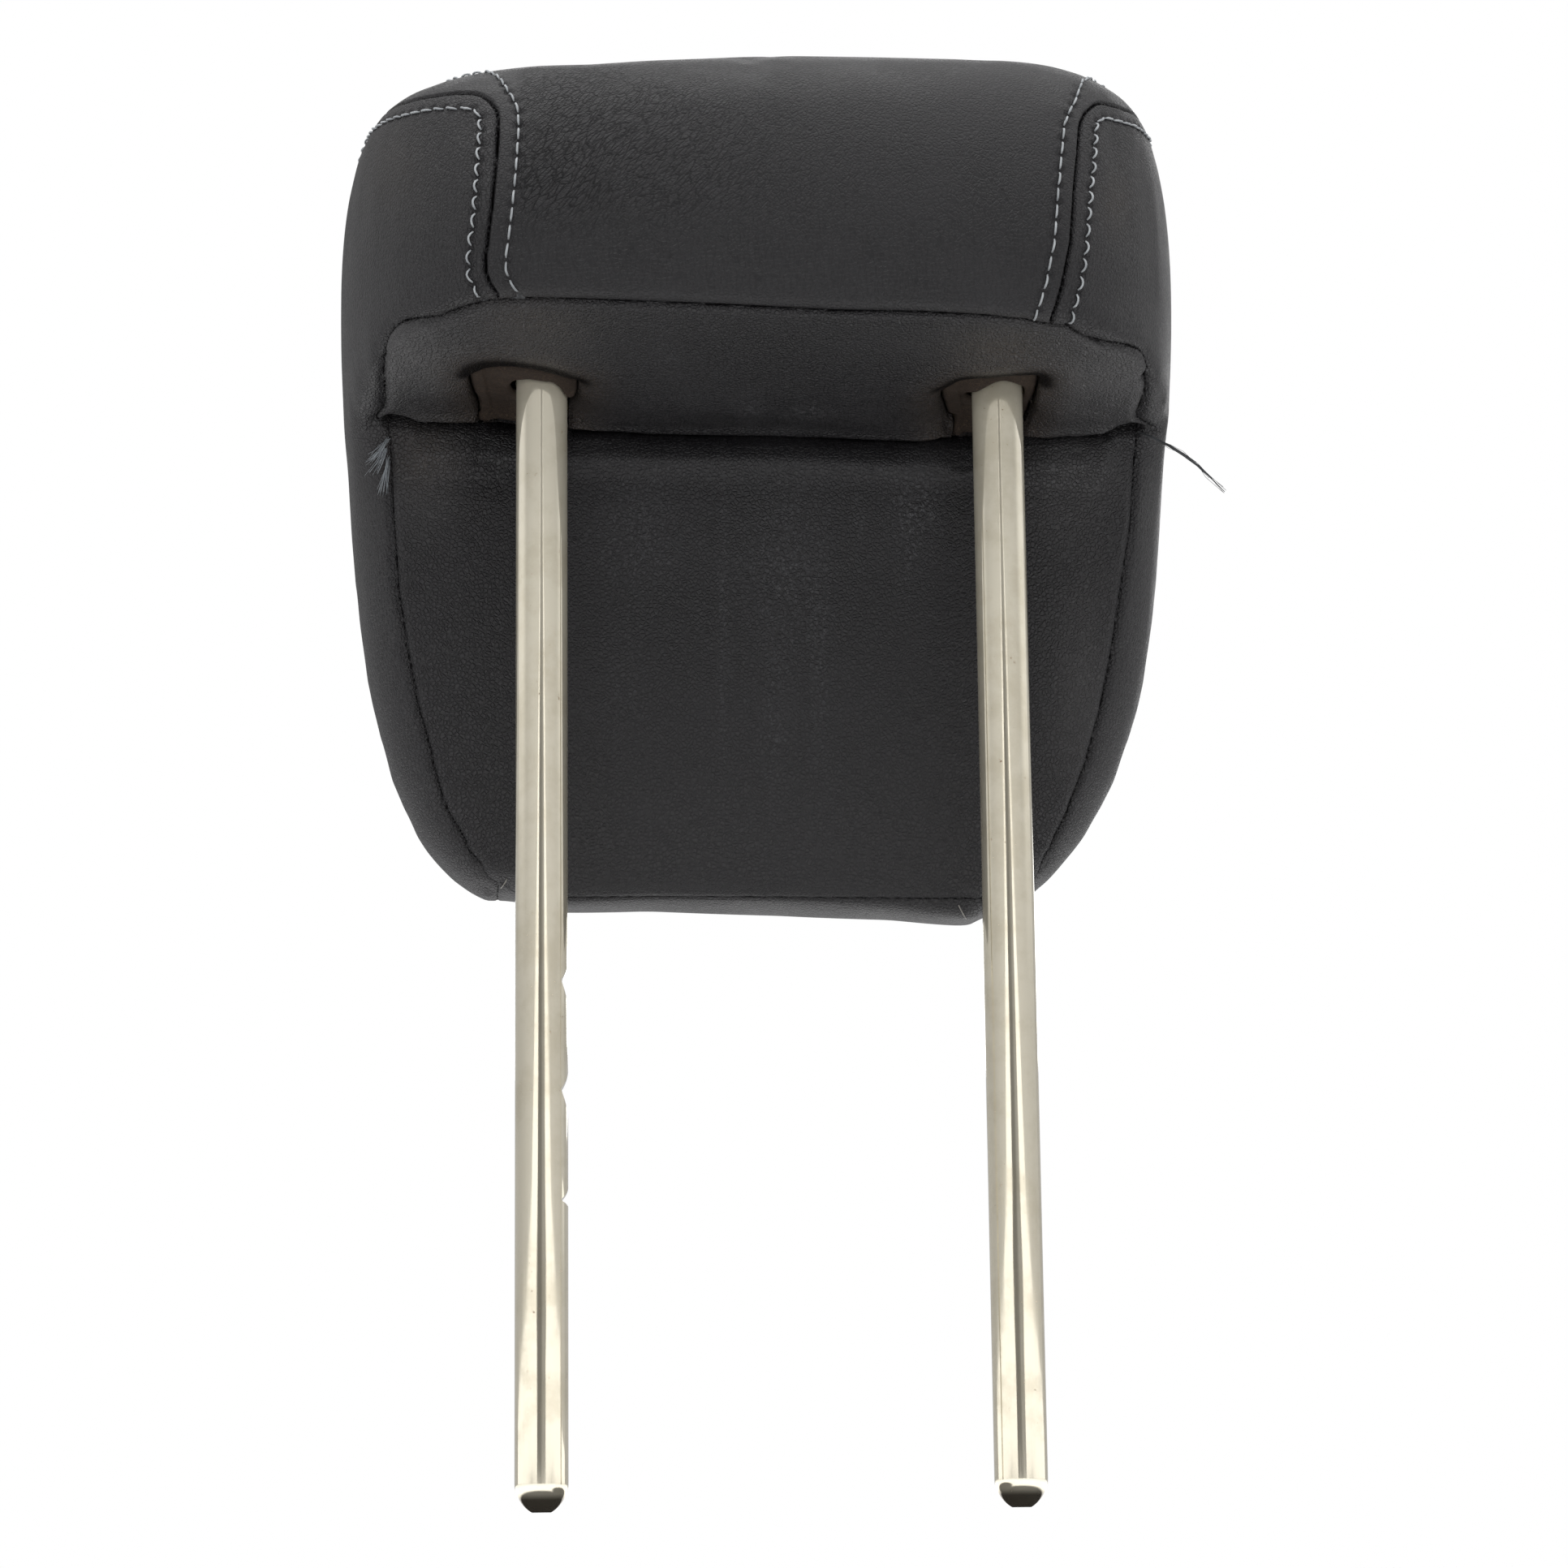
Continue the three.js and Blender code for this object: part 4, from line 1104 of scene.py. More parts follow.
    def twin_lines(self, y: np.ndarray, z: np.ndarray) -> tuple[np.ndarray, np.ndarray]:
        """Gives where the two twin seams run, swinging at the rear and straight at the front.

        Args:
            y: Places from rear to front, in millimetres.
            z: Heights in millimetres.

        Returns:
            The left and the right seam's x in millimetres.
        """
        share = np.clip((z - 310.5) / 83.0, 0, 1)
        rear = smooth((30 - y) / 30)
        lines = []
        for straight, sewn in ((-74.5 - 2.3 * share, self.left_seam), (72.5 + 11.5 * share, self.right_seam)):
            swung = np.interp(z, *np.array(sewn).T)
            lines.append(straight + (swung - straight) * rear)
        return lines[0], lines[1]

    def distances(self, points: np.ndarray, trees: list[BVHTree]) -> np.ndarray:
        """Measures how far each point is from each CAD panel.

        Args:
            points: Rows of x, y, z in metres.
            trees: The panels' search trees.

        Returns:
            A column of distances in millimetres for each panel.
        """
        found = np.full((len(points), len(trees)), self.far_mm * MM)
        limit = self.far_mm * MM
        for row, point in enumerate(self.sewn_places(points).tolist()):
            for column, tree in enumerate(trees):
                away = tree.find_nearest(point, limit)[3]
                if away is not None:
                    found[row, column] = away
        found /= MM
        return self.round_twin_seams(points, found)

    def sewn_places(self, points: np.ndarray) -> np.ndarray:
        """Shifts points so that the CAD panels' seams fall where the cover is sewn.

        Args:
            points: Rows of x, y, z in metres.

        Returns:
            The places to measure from the CAD panels.
        """
        x, y, z = (points[:, i] / MM for i in range(3))
        roll = smooth((-18 - y) / 14) * smooth((345 - z) / 12) * smooth((z - 285) / 12)
        ends = smooth((24 - y) / 6) * smooth((z - 290) / 8) * smooth((335 - z) / 10) * smooth((x - 85) / 10)
        flap = smooth((62 - y) / 12) * smooth((y - 14) / 8) * smooth((303 - z) / 6) * smooth((np.abs(x) - 68) / 12)
        left, right = (np.interp(z, *np.array(table).T) for table in (self.left_gusset, self.right_gusset))
        crease = self.crease_share(y, z) * np.interp(x, *np.array(self.crease_trim).T)
        moved = points.copy()
        moved[:, 0] += (self.roll_end_mm * ends - flap * np.where(x < 0, left, right)) * MM
        moved[:, 2] += (roll * np.interp(x, *np.array(self.roll_drop).T) + self.hem_drop_mm * smooth((185 - z) / 12)
                        - crease) * MM
        return moved

    def fitted(self, points: np.ndarray) -> np.ndarray:
        """Trims the swollen form to the photographed outline.

        Args:
            points: Rows of x, y, z in metres.

        Returns:
            The trimmed places.
        """
        x, y, z = (points[:, i] / MM for i in range(3))
        moved = points.copy()
        moved[:, 0] += (smooth((x - 55) / 40) * np.interp(z, *np.array(self.right_trim).T)
                        - smooth((-x - 55) / 40) * np.interp(z, *np.array(self.left_trim).T)) * MM
        moved[:, 2] += (smooth((z - 335) / 45) * np.interp(x, *np.array(self.crown_trim).T)
                        + smooth((205 - z) / 35) * np.interp(x, *np.array(self.hem_trim).T)
                        + self.crease_share(y, z) * np.interp(x, *np.array(self.crease_trim).T)) * MM
        return moved

    @staticmethod
    def crease_share(y: np.ndarray, z: np.ndarray) -> np.ndarray:
        """Gives how near places are to the crease, from 0 to 1."""
        return smooth((y - 2) / 14) * smooth((64 - y) / 14) * smooth((318 - z) / 14) * smooth((z - 268) / 16)

    def centre_reach(self, points: np.ndarray, number: int) -> np.ndarray:
        """Gives the centre stitch row's distance from its seam, which grows along the crown.

        Args:
            points: Rows of x, y, z in metres.
            number: 0 for the left seam, 1 for the right.

        Returns:
            Distances in millimetres.
        """
        x, z = points[:, 0] / MM, points[:, 2] / MM
        outside = x - 80 if number else -x - 71
        return self.centre_rows_mm[number] + self.crown_growth_mm * smooth(outside / 9) * smooth((z - 345) / 15)

    def round_twin_seams(self, points: np.ndarray, found: np.ndarray) -> np.ndarray:
        """Rounds the corners of the twin seams where they turn outwards below the crown.

        Args:
            points: Rows of x, y, z in metres.
            found: Distances to each panel in millimetres, changed for the centre and the sides.

        Returns:
            The same distances, with the twin seams as they are sewn.
        """
        x, y, z = (points[:, i] / MM for i in range(3))
        left, right = self.twin_lines(y, z)
        across = np.where(x < 0, left - x, x - right)
        below = np.interp(y, *np.array(self.crown_seam).T) - z
        tilt = self.form_normals(points)
        across = across / np.sqrt(np.clip(1 - tilt[:, 0] ** 2, 0.15, 1))
        below = below / np.sqrt(np.clip(1 - tilt[:, 2] ** 2, 0.12, 1))
        r = self.twin_corner_mm
        inside = r - np.hypot(np.maximum(r - across, 0), np.maximum(r - below, 0))
        inside += np.maximum(np.minimum(across, below) - r, 0)
        own = np.argmin(found, axis=1)
        near = found.min(axis=1)
        pair = np.isin(own, (Panel.CENTRE.value, Panel.SIDE_LEFT.value, Panel.SIDE_RIGHT.value))
        for side, here in ((Panel.SIDE_LEFT, pair & (x < 0)), (Panel.SIDE_RIGHT, pair & (x >= 0))):
            found[here, side.value] = np.hypot(near[here], np.maximum(-inside[here], 0))
            found[here, Panel.CENTRE.value] = np.hypot(near[here], np.maximum(inside[here], 0))
        return found

    def form_normals(self, points: np.ndarray) -> np.ndarray:
        """Looks up the smooth form's directions at points.

        Args:
            points: Rows of x, y, z in metres.

        Returns:
            Rows of directions of length 1.
        """
        near = [self.form_tree.find_nearest(p)[2] for p in points.tolist()]
        return self.form_turns[np.array(near)]

    @staticmethod
    def seam_distance(found: np.ndarray) -> np.ndarray:
        """Gives each point's distance along the surface to the nearest seam."""
        near = np.sort(found, axis=1)[:, :2]
        return np.sqrt(np.maximum(near[:, 1] ** 2 - near[:, 0] ** 2, 0.0))

    def swell(self, form: Object, trees: list[BVHTree]) -> None:
        """Blows the form up softly between its seams with a cloth simulation, and applies it.

        Args:
            form: The remeshed form.
            trees: The panels' search trees.
        """
        activate(form)
        seam = self.seam_distance(self.distances(coordinates(form.data), trees))
        apply_modifier(form, "SMOOTH", factor=0.5, iterations=6)
        start = coordinates(form.data)
        outwards = directions(form.data)
        inset = smooth(seam / 18.0) * self.start_inset_mm * MM
        start = start - outwards * inset[:, None]
        write_coordinates(form.data, start)
        held = form.vertex_groups.new(name="held")
        for index, value in enumerate(1 - smooth((seam - 1.5) / self.seam_hold_mm)):
            if value > 0.01:
                held.add([index], float(value), "REPLACE")
        cloth = form.modifiers.new("Cloth", "CLOTH")
        rules = cloth.settings
        rules.quality = 6
        rules.mass = 0.3
        rules.tension_stiffness = self.cloth_stiffness
        rules.compression_stiffness = self.cloth_stiffness
        rules.shear_stiffness = 8.0
        rules.bending_stiffness = 0.6
        rules.use_pressure = True
        rules.uniform_pressure_force = self.cloth_pressure
        rules.vertex_group_mass = held.name
        rules.effector_weights.gravity = 0.0
        cloth.collision_settings.use_collision = False
        cloth.point_cache.frame_start = 1
        cloth.point_cache.frame_end = self.cloth_frames
        scene = bpy.context.scene
        for step in range(1, self.cloth_frames + 1):
            scene.frame_set(step)
        activate(form)
        bpy.ops.object.modifier_apply(modifier=cloth.name)
        scene.frame_set(1)
        form.vertex_groups.clear()
        moved = coordinates(form.data) - start
        length = np.linalg.norm(moved, axis=1)
        LOG.info("swell: mean %.2f mm, most %.2f mm", length.mean() / MM, length.max() / MM)
        limit = self.swell_cap_mm * MM
        share = np.where(length > 1e-9, limit * np.tanh(length / limit) / np.maximum(length, 1e-9), 1.0)
        write_coordinates(form.data, start + moved * share[:, None])

    def refine(self, form: Object, trees: list[BVHTree]) -> None:
        """Subdivides the form once all over and twice more near the seams.

        Args:
            form: The swollen form.
            trees: The panels' search trees.
        """
        apply_modifier(form, "SUBSURF", levels=1, render_levels=1)
        for reach in (9.5, 4.2):
            points = coordinates(form.data)
            found = self.distances(points, trees)
            seam = self.seam_distance(found)
            near = (seam < reach) | (self.slot_gap(points) < reach * 0.8)
            shape = bmesh.new()
            shape.from_mesh(form.data)
            shape.verts.ensure_lookup_table()
            edges = [e for e in shape.edges if near[e.verts[0].index] and near[e.verts[1].index]]
            bmesh.ops.subdivide_edges(shape, edges=edges, cuts=1, use_grid_fill=True, smooth=0.0)
            bmesh.ops.triangulate(shape, faces=[f for f in shape.faces if len(f.verts) > 4])
            shape.to_mesh(form.data)
            shape.free()
        LOG.info("refined form: %d faces", len(form.data.polygons))

    def slot_gap(self, points: np.ndarray) -> np.ndarray:
        """Measures how far points are outside the nearest slot, in millimetres, or gives a far gap away from it."""
        x, y, z = (points[:, i] / MM for i in range(3))
        gap = np.minimum(SLOTS[0].distance(x, y), SLOTS[1].distance(x, y))
        return np.where((z > 285) & (z < 330) & (y > -40) & (y < 30), gap, FAR_GAP)

    def seam_depth(self, points: np.ndarray, found: np.ndarray) -> tuple[np.ndarray, np.ndarray]:
        """Works out how deep each vertex lies in its seam's profile.

        Args:
            points: Rows of x, y, z in metres.
            found: Distances to each panel in millimetres.

        Returns:
            Depths in millimetres along the normal, and the slit's extra depth in the crease.
        """
        order = np.argsort(found, axis=1)
        own, other = order[:, 0], order[:, 1]
        seam = self.seam_distance(found)
        along = np.sqrt(np.maximum(found ** 2 - found.min(axis=1)[:, None] ** 2, 0.0))
        third = np.sort(along, axis=1)[:, 2]
        centre, front, left, right, under, flap, _ = along.T
        sides = (Panel.SIDE_LEFT.value, Panel.SIDE_RIGHT.value)
        pair = np.stack([np.minimum(own, other), np.maximum(own, other)], -1)
        twin = (pair[:, 0] == Panel.CENTRE.value) & np.isin(pair[:, 1], sides)
        low = pair[:, 1] == Panel.BOTTOM.value
        row = np.where(own == Panel.CENTRE.value,
                       np.where(left < right, self.centre_reach(points, 0), self.centre_reach(points, 1)),
                       np.where(left < right, *self.side_rows_mm))
        clear = smooth((third - 0.5) / 3.0)
        depth = np.where(low, rolled(seam, 1.8, 0.8), rolled(seam, 2.6, 1.7))
        band = 0.7 * (1 - smooth((seam - row) / 1.8)) * smooth(seam / 1.8)
        dip = 0.55 * np.exp(-((seam - row) / 0.75) ** 2)
        depth = np.where(twin, rolled(seam, 1.6, 2.1) + (dip - band) * clear, depth)
        roll = np.hypot(under, np.minimum.reduce([centre, front, left, right]))
        depth = np.maximum(depth, rolled(roll, 4.0, 2.6))
        crease = np.hypot(under, flap)
        tucked = np.where(own == Panel.UNDERSIDE.value, rolled(crease, 9.0, 4.6), rolled(crease, 10.0, 3.8))
        tucked = np.where(np.isin(own, sides), rolled(crease, 4.0, 3.0), tucked)
        depth = np.maximum(depth, tucked)
        slit = 6.0 * (1 - smooth(crease / 3.0))
        return depth, slit

    def carve(self, form: Object, trees: list[BVHTree]) -> None:
        """Sinks the seams, the crease and the slots' rims into the form.

        Args:
            form: The refined form.
            trees: The panels' search trees.
        """
        mesh = form.data
        points = coordinates(mesh)
        outwards = directions(mesh)
        found = self.distances(points, trees)
        self.found = found
        depth, slit = self.seam_depth(points, found)
        corner = smooth((181 - points[:, 2] / MM) / 6) * smooth((np.abs(points[:, 0]) / MM - 60) / 6)
        depth *= 1 - 0.75 * corner
        gap = self.slot_gap(points)
        rim = rolled(np.maximum(gap, 0.0), 3.5, 1.3) - 0.9 * np.exp(-((gap - 7.0) / 4.0) ** 2)
        depth = depth + np.where(gap < FAR_GAP, rim, 0.0)
        rest = points.copy()
        depth = depth + self.patches(self.camera.pixels(rest), self.dents) * (outwards[:, 1] < 0.1)
        points = points - outwards * (depth * MM)[:, None]
        inwards = np.array(Vector((0, 0.62, 0.78)).normalized())
        points = points + inwards * (slit * MM)[:, None]
        write_coordinates(mesh, points)
        self.rest = rest

    def cut_slots(self, form: Object) -> None:
        """Opens the two slots and turns their edges up into the head.

        Args:
            form: The carved form.
        """
        points = coordinates(form.data)
        gap = self.slot_gap(points)
        shape = bmesh.new()
        shape.from_mesh(form.data)
        shape.verts.ensure_lookup_table()
        keep = shape.verts.layers.int.new("row")
        for vert in shape.verts:
            vert[keep] = vert.index
        under = np.argmin(self.found, axis=1) == Panel.UNDERSIDE.value
        for slot in SLOTS:
            self.felts.append(self.felt_patch(shape, slot, gap, under))
        inside = [f for f in shape.faces if all(gap[v.index] < 0.15 and under[v.index] for v in f.verts)]
        bmesh.ops.delete(shape, geom=inside, context="FACES")
        rim = [e for e in shape.edges if e.is_boundary]
        for vert in {v for e in rim for v in e.verts}:
            x, y = vert.co.x / MM, vert.co.y / MM
            slot = SLOTS[0] if x < 0 else SLOTS[1]
            if abs(slot.distance(np.array([x]), np.array([y]))[0]) < 1.2:
                x, y = slot.snapped(x, y, 0.0)
                vert.co.x, vert.co.y = x * MM, y * MM
        for lift in (1.0, 2.0):
            new = bmesh.ops.extrude_edge_only(shape, edges=rim)
            turned = [g for g in new["geom"] if isinstance(g, BMVert)]
            bmesh.ops.translate(shape, verts=turned, vec=(0, 0, lift * MM))
            rim = [g for g in new["geom"] if isinstance(g, BMEdge) and g.is_boundary]
        rows = np.array([v[keep] for v in shape.verts])
        shape.verts.layers.int.remove(keep)
        shape.to_mesh(form.data)
        shape.free()
        self.found = self.found[rows]
        self.rest = self.rest[rows]

    @staticmethod
    def felt_patch(shape: BMesh, slot: SlotShape, gap: np.ndarray, under: np.ndarray) -> Mesh:
        """Copies the surface inside a slot, for the felt that closes it round the post.

        Args:
            shape: The carved form.
            slot: The slot.
            gap: Each vertex's distance outside the slots, in millimetres.
            under: Whether each vertex lies in the underside panel.

        Returns:
            The patch, with its edge on the slot's outline.
        """
        numbers, points, faces = {}, [], []
        inside = (gap < -0.35) & under
        for face in shape.faces:
            if face.verts[0].co.x * slot.post_x < 0 or not all(inside[v.index] for v in face.verts):
                continue
            for vert in face.verts:
                if vert.index not in numbers:
                    numbers[vert.index] = len(points)
                    points.append(vert.co.copy())
            faces.append([numbers[v.index] for v in face.verts])
        mesh = bpy.data.meshes.new("felt_patch")
        mesh.from_pydata(points, [], faces)
        mesh.update()
        return mesh

    def twin_rows(self, mesh: Mesh) -> list[np.ndarray]:
        """Traces the stitch rows on both sides of each twin seam.

        Args:
            mesh: The carved cover.

        Returns:
            One line of points for each row, in metres.
        """
        mesh.calc_loop_triangles()
        corners = np.zeros(len(mesh.loop_triangles) * 3, int)
        mesh.loop_triangles.foreach_get("vertices", corners)
        corners = corners.reshape(-1, 3)
        points = coordinates(mesh)
        own = np.argmin(self.found, axis=1)
        lines = []
        low = self.found.min(axis=1)
        along = np.sqrt(np.maximum(self.found ** 2 - low[:, None] ** 2, 0.0))
        for number, side in enumerate((Panel.SIDE_LEFT, Panel.SIDE_RIGHT)):
            signed = along[:, side.value] - along[:, Panel.CENTRE.value]
            pair = np.isin(own, (side.value, Panel.CENTRE.value))
            others = [p.value for p in Panel if p not in (side, Panel.CENTRE)]
            clear = pair & (along[:, others].min(axis=1) > 0.6)
            for level in (self.centre_reach(points, number), -self.side_rows_mm[number]):
                value = signed - level
                use = clear[corners].all(axis=1) & (np.abs(np.sign(value[corners]).sum(axis=1)) < 3)
                lines.append(self.chain(corners[use], value, points))
        return lines

    @staticmethod
    def chain(corners: np.ndarray, value: np.ndarray, points: np.ndarray) -> np.ndarray:
        """Joins the crossings of a level with the triangles' edges into the longest line.

        Args:
            corners: Rows of three vertex numbers.
            value: The value at each vertex, 0 on the line.
            points: The vertices' places.

        Returns:
            The line's points in order.
        """
        places, links = {}, {}
        for triangle in corners:
            crossed = []
            for a, b in ((0, 1), (1, 2), (2, 0)):
                i, j = sorted((int(triangle[a]), int(triangle[b])))
                if (value[i] < 0) != (value[j] < 0):
                    share = value[i] / (value[i] - value[j])
                    places[(i, j)] = points[i] + (points[j] - points[i]) * share
                    crossed.append((i, j))
            if len(crossed) == 2:
                links.setdefault(crossed[0], []).append(crossed[1])
                links.setdefault(crossed[1], []).append(crossed[0])
        best, left = [], set(links)
        while left:
            seed = next(iter(left))
            group, edge = {seed}, [seed]
            while edge:
                for other in links[edge.pop()]:
                    if other not in group:
                        group.add(other)
                        edge.append(other)
            left -= group
            ends = sorted(k for k in group if len(links[k]) == 1)
            here, line, seen = (ends or [min(group)])[0], [], set()
            while here is not None:
                line.append(here)
                seen.add(here)
                here = next((k for k in links[here] if k not in seen), None)
            if len(line) > len(best):
                best = line
        return np.array([places[k] for k in best])

    @staticmethod
    def patches(spots: np.ndarray, marks: Marks) -> np.ndarray:
        """Adds up soft oval patches in the photograph.

        Args:
            spots: Rows of pixel columns and rows.
            marks: Each patch's middle, half width, half height and strength.

        Returns:
            The sum of the patches at each spot.
        """
        total = np.zeros(len(spots))
        for px, py, wide, tall, strength in marks:
            total += strength * np.exp(-((spots[:, 0] - px) / wide) ** 2 - ((spots[:, 1] - py) / tall) ** 2)
        return total

    def paint(self, mesh: Mesh) -> None:
        """Marks the worn, creased, dusty and browned places on the vertices, the patches of painted light, and the
        painted shade at the slots' rims.

        Args:
            mesh: The cover's mesh.
        """
        spots = self.camera.pixels(self.rest)
        px, py = spots[:, 0], spots[:, 1]
        own = np.argmin(self.found, axis=1)
        rear = directions(mesh)[:, 1] < 0.1
        flap = (own == Panel.FLAP_REAR.value) & rear
        under = own == Panel.UNDERSIDE.value
        scuffed = flap * self.patches(spots, self.flap_scuffs) + under * self.patches(spots, self.roll_scuffs)
        gap = self.slot_gap(self.rest)
        browned = under * np.exp(-(gap / 8.0) ** 2) * 0.9 + rear * self.patches(spots, self.brown_marks)
        # Painted shade: the leather darkens at the slots' rims, most along the rear arch.
        arch = smooth((-6 - self.rest[:, 1] / MM) / 5)
        grimed = under * np.maximum((1 - smooth((gap - 1.8) / 4)) * arch, 0.4 * (1 - smooth((gap - 0.3) / 1)))
        # Painted light: paler patches on the roll and the flap, mostly at their ends and sides.
        faded = (under | flap) * self.patches(spots, self.painted_light_marks)
        creased = (own == Panel.CENTRE.value) * rear * smooth((1330 - px) / 760) * smooth((340 - py) / 110)
        creased *= smooth((px - 630) / 16)
        coarse = np.where(own == Panel.CENTRE.value, 0.25, 0.7)
        coarse = np.where(flap, 0.35 + 0.65 * smooth((np.abs(px - 930) - 180) / 200), coarse)
        coarse = np.where(own == Panel.FRONT.value, 0.6, coarse)
        for name, value in zip(WEAR_AND_LIGHT_LAYERS, (creased, scuffed, browned, coarse, faded, grimed)):
            layer = mesh.attributes.new(name, "FLOAT", "POINT")
            layer.data.foreach_set("value", np.clip(value, 0, 1).astype(np.float32))

    def stitch_dips(self, mesh: Mesh, holes: list[Vector]) -> None:
        """Pulls the leather in round each needle hole.

        Args:
            mesh: The cover's mesh.
            holes: The needle holes.
        """
        tree = KDTree(len(holes))
        for index, hole in enumerate(holes):
            tree.insert(hole, index)
        tree.balance()
        points = coordinates(mesh)
        outwards = directions(mesh)
        reach = 2.0 * MM
        own = np.argmin(self.found, axis=1)
        sewn = np.isin(own, (Panel.CENTRE.value, Panel.SIDE_LEFT.value, Panel.SIDE_RIGHT.value))
        near = sewn & (self.seam_distance(self.found) < 9)
        for row in np.nonzero(near)[0]:
            away = tree.find(Vector(points[row]))[2]
            if away < reach:
                points[row] -= outwards[row] * 0.8 * MM * (1 - (away / reach) ** 2) ** 2
        write_coordinates(mesh, points)

    def split(self, mesh: Mesh, leather: Material) -> None:
        """Cuts the cover into its sewn panels and gives each the leather's thickness.

        Args:
            mesh: The finished surface.
            leather: The cover's material.
        """
        starts = np.zeros(len(mesh.polygons), int)
        counts = np.zeros(len(mesh.polygons), int)
        corners = np.zeros(len(mesh.loops), int)
        mesh.polygons.foreach_get("loop_start", starts)
        mesh.polygons.foreach_get("loop_total", counts)
        mesh.loops.foreach_get("vertex_index", corners)
        own = np.argmin(np.add.reduceat(self.found[corners], starts, axis=0) / counts[:, None], axis=1)
        for panel in Panel:
            shape = bmesh.new()
            shape.from_mesh(mesh)
            shape.faces.ensure_lookup_table()
            away = [shape.faces[k] for k in np.nonzero(own != panel.value)[0].tolist()]
            bmesh.ops.delete(shape, geom=away, context="FACES")
            part = bpy.data.meshes.new(PANEL_NODES[panel].replace("cover", "leather"))
            shape.to_mesh(part)
            shape.free()
            piece = link_mesh(part.name, part)
            apply_modifier(piece, "SOLIDIFY", thickness=self.leather_mm * MM, offset=-1.0)
            bpy.ops.object.shade_smooth()
            place_piece(piece, leather, (PANEL_NODES[panel],))
            self.panels[panel] = piece

    def build(self) -> None:
        """Builds the cover's surface, ready for its stitches."""
        trees = self.panel_trees()
        form = self.start_form()
        self.swell(form, trees)
        write_coordinates(form.data, self.fitted(coordinates(form.data)))
        self.core = form.data.copy()
        self.core_seam = self.seam_distance(self.distances(coordinates(self.core), trees))
        self.refine(form, trees)
        self.carve(form, trees)
        self.cut_slots(form)
        self.form = form
        self.rows = self.twin_rows(form.data)
        for row in self.rows:
            LOG.info("stitch row: %d points", len(row))

    def finish(self, holes: list[Vector]) -> None:
        """Pulls in the needle holes, marks the wear, the painted light and the painted shade, and splits the
        panels.

        Args:
            holes: The needle holes of the stitches.
        """
        mesh = self.form.data
        self.stitch_dips(mesh, holes)
        self.paint(mesh)
        self.split(mesh, CoatedLeather().build())
        bpy.data.objects.remove(self.form)


@dataclass
class FoamPad:
    """The moulded foam under the leather, with a hollow for the carrier and slots for the posts."""

    skin_mm: float = 2.8
    groove_mm: float = 6.0
    groove_reach_mm: float = 9.0
    hollows: tuple[tuple[float, float, float, float, float, float], ...] = (
        (-88.6, 88.6, -17.6, 17.6, 316.4, 374.6),
        (-96.0, 96.0, 25.5, 36.0, 287.0, 303.0),
        (-84.5, -49.0, -26.0, 26.0, 270.0, 318.0),
        (43.0, 76.0, -24.0, 26.0, 270.0, 318.0),
    )

    def build(self, core: Mesh, seam: np.ndarray) -> Object:
        """Shrinks the swollen form under the leather and hollows it.

        Args:
            core: A copy of the swollen form's mesh.
            seam: Each vertex's distance to the nearest seam in millimetres.

        Returns:
            The foam pad.
        """
        inset = self.skin_mm + self.groove_mm * (1 - smooth(seam / self.groove_reach_mm))
        write_coordinates(core, coordinates(core) - directions(core) * (inset * MM)[:, None])
        pad = link_mesh("foam_pad", core)
        tools = []
        bpy.ops.object.select_all(action="DESELECT")
        for x0, x1, y0, y1, z0, z1 in self.hollows:
            bpy.ops.mesh.primitive_cube_add(size=1.0, location=Vector((x0 + x1, y0 + y1, z0 + z1)) * MM / 2,
                                            scale=Vector((x1 - x0, y1 - y0, z1 - z0)) * MM)
            tool = bpy.context.active_object
            bpy.ops.object.transform_apply(location=True, rotation=False, scale=True)
            tools.append(tool)
        for tool in tools:
            apply_modifier(pad, "BOOLEAN", operation="DIFFERENCE", solver="EXACT", object=tool)
            bpy.data.objects.remove(tool)
        activate(pad)
        bpy.ops.object.shade_smooth_by_angle(angle=math.radians(50))
        place_piece(pad, CushionFoam().build(), ("foam_core",))
        return pad


def add_tube(shape: BMesh, points: list[Vector], radii: list[float], sides: int,
             normals: list[Vector] | None = None) -> None:
    """Adds a closed round thread along points.

    Args:
        shape: The mesh that takes it.
        points: The thread's centre line, in metres.
        radii: Its radius at each point, in metres.
        sides: Faces round it.
        normals: A direction across the thread at each point, or none for any.
    """
    rings = []
    side = None
    for index, point in enumerate(points):
        along = (points[min(index + 1, len(points) - 1)] - points[max(index - 1, 0)]).normalized()
        if normals is not None:
            side = along.cross(normals[index])
        elif side is None:
            side = along.cross(Vector((0.3, 0.5, 0.81)))
        side = (side - along * side.dot(along)).normalized()
        up = side.cross(along)
        turns = [2 * math.pi * k / sides for k in range(sides)]
        spokes = [math.cos(t) * side + math.sin(t) * up for t in turns]
        rings.append([shape.verts.new(point + spoke * radii[index]) for spoke in spokes])
    for low, high in zip(rings, rings[1:]):
        for k in range(sides):
            shape.faces.new((low[k], low[(k + 1) % sides], high[(k + 1) % sides], high[k]))
    shape.faces.new(rings[0][::-1])
    shape.faces.new(rings[-1])


def thread_piece(name: str, shape: BMesh, thread: Material) -> Object:
    """Makes one smooth piece of the tubes in a mesh.

    Args:
        name: The piece's name.
        shape: The tubes, which are freed.
        thread: Their material.

    Returns:
        The piece.
    """
    bmesh.ops.recalc_face_normals(shape, faces=shape.faces)
    mesh = bpy.data.meshes.new(name)
    shape.to_mesh(mesh)
    shape.free()
    piece = link_mesh(name, mesh)
    activate(piece)
    bpy.ops.object.shade_smooth()
    place_piece(piece, thread)
    return piece


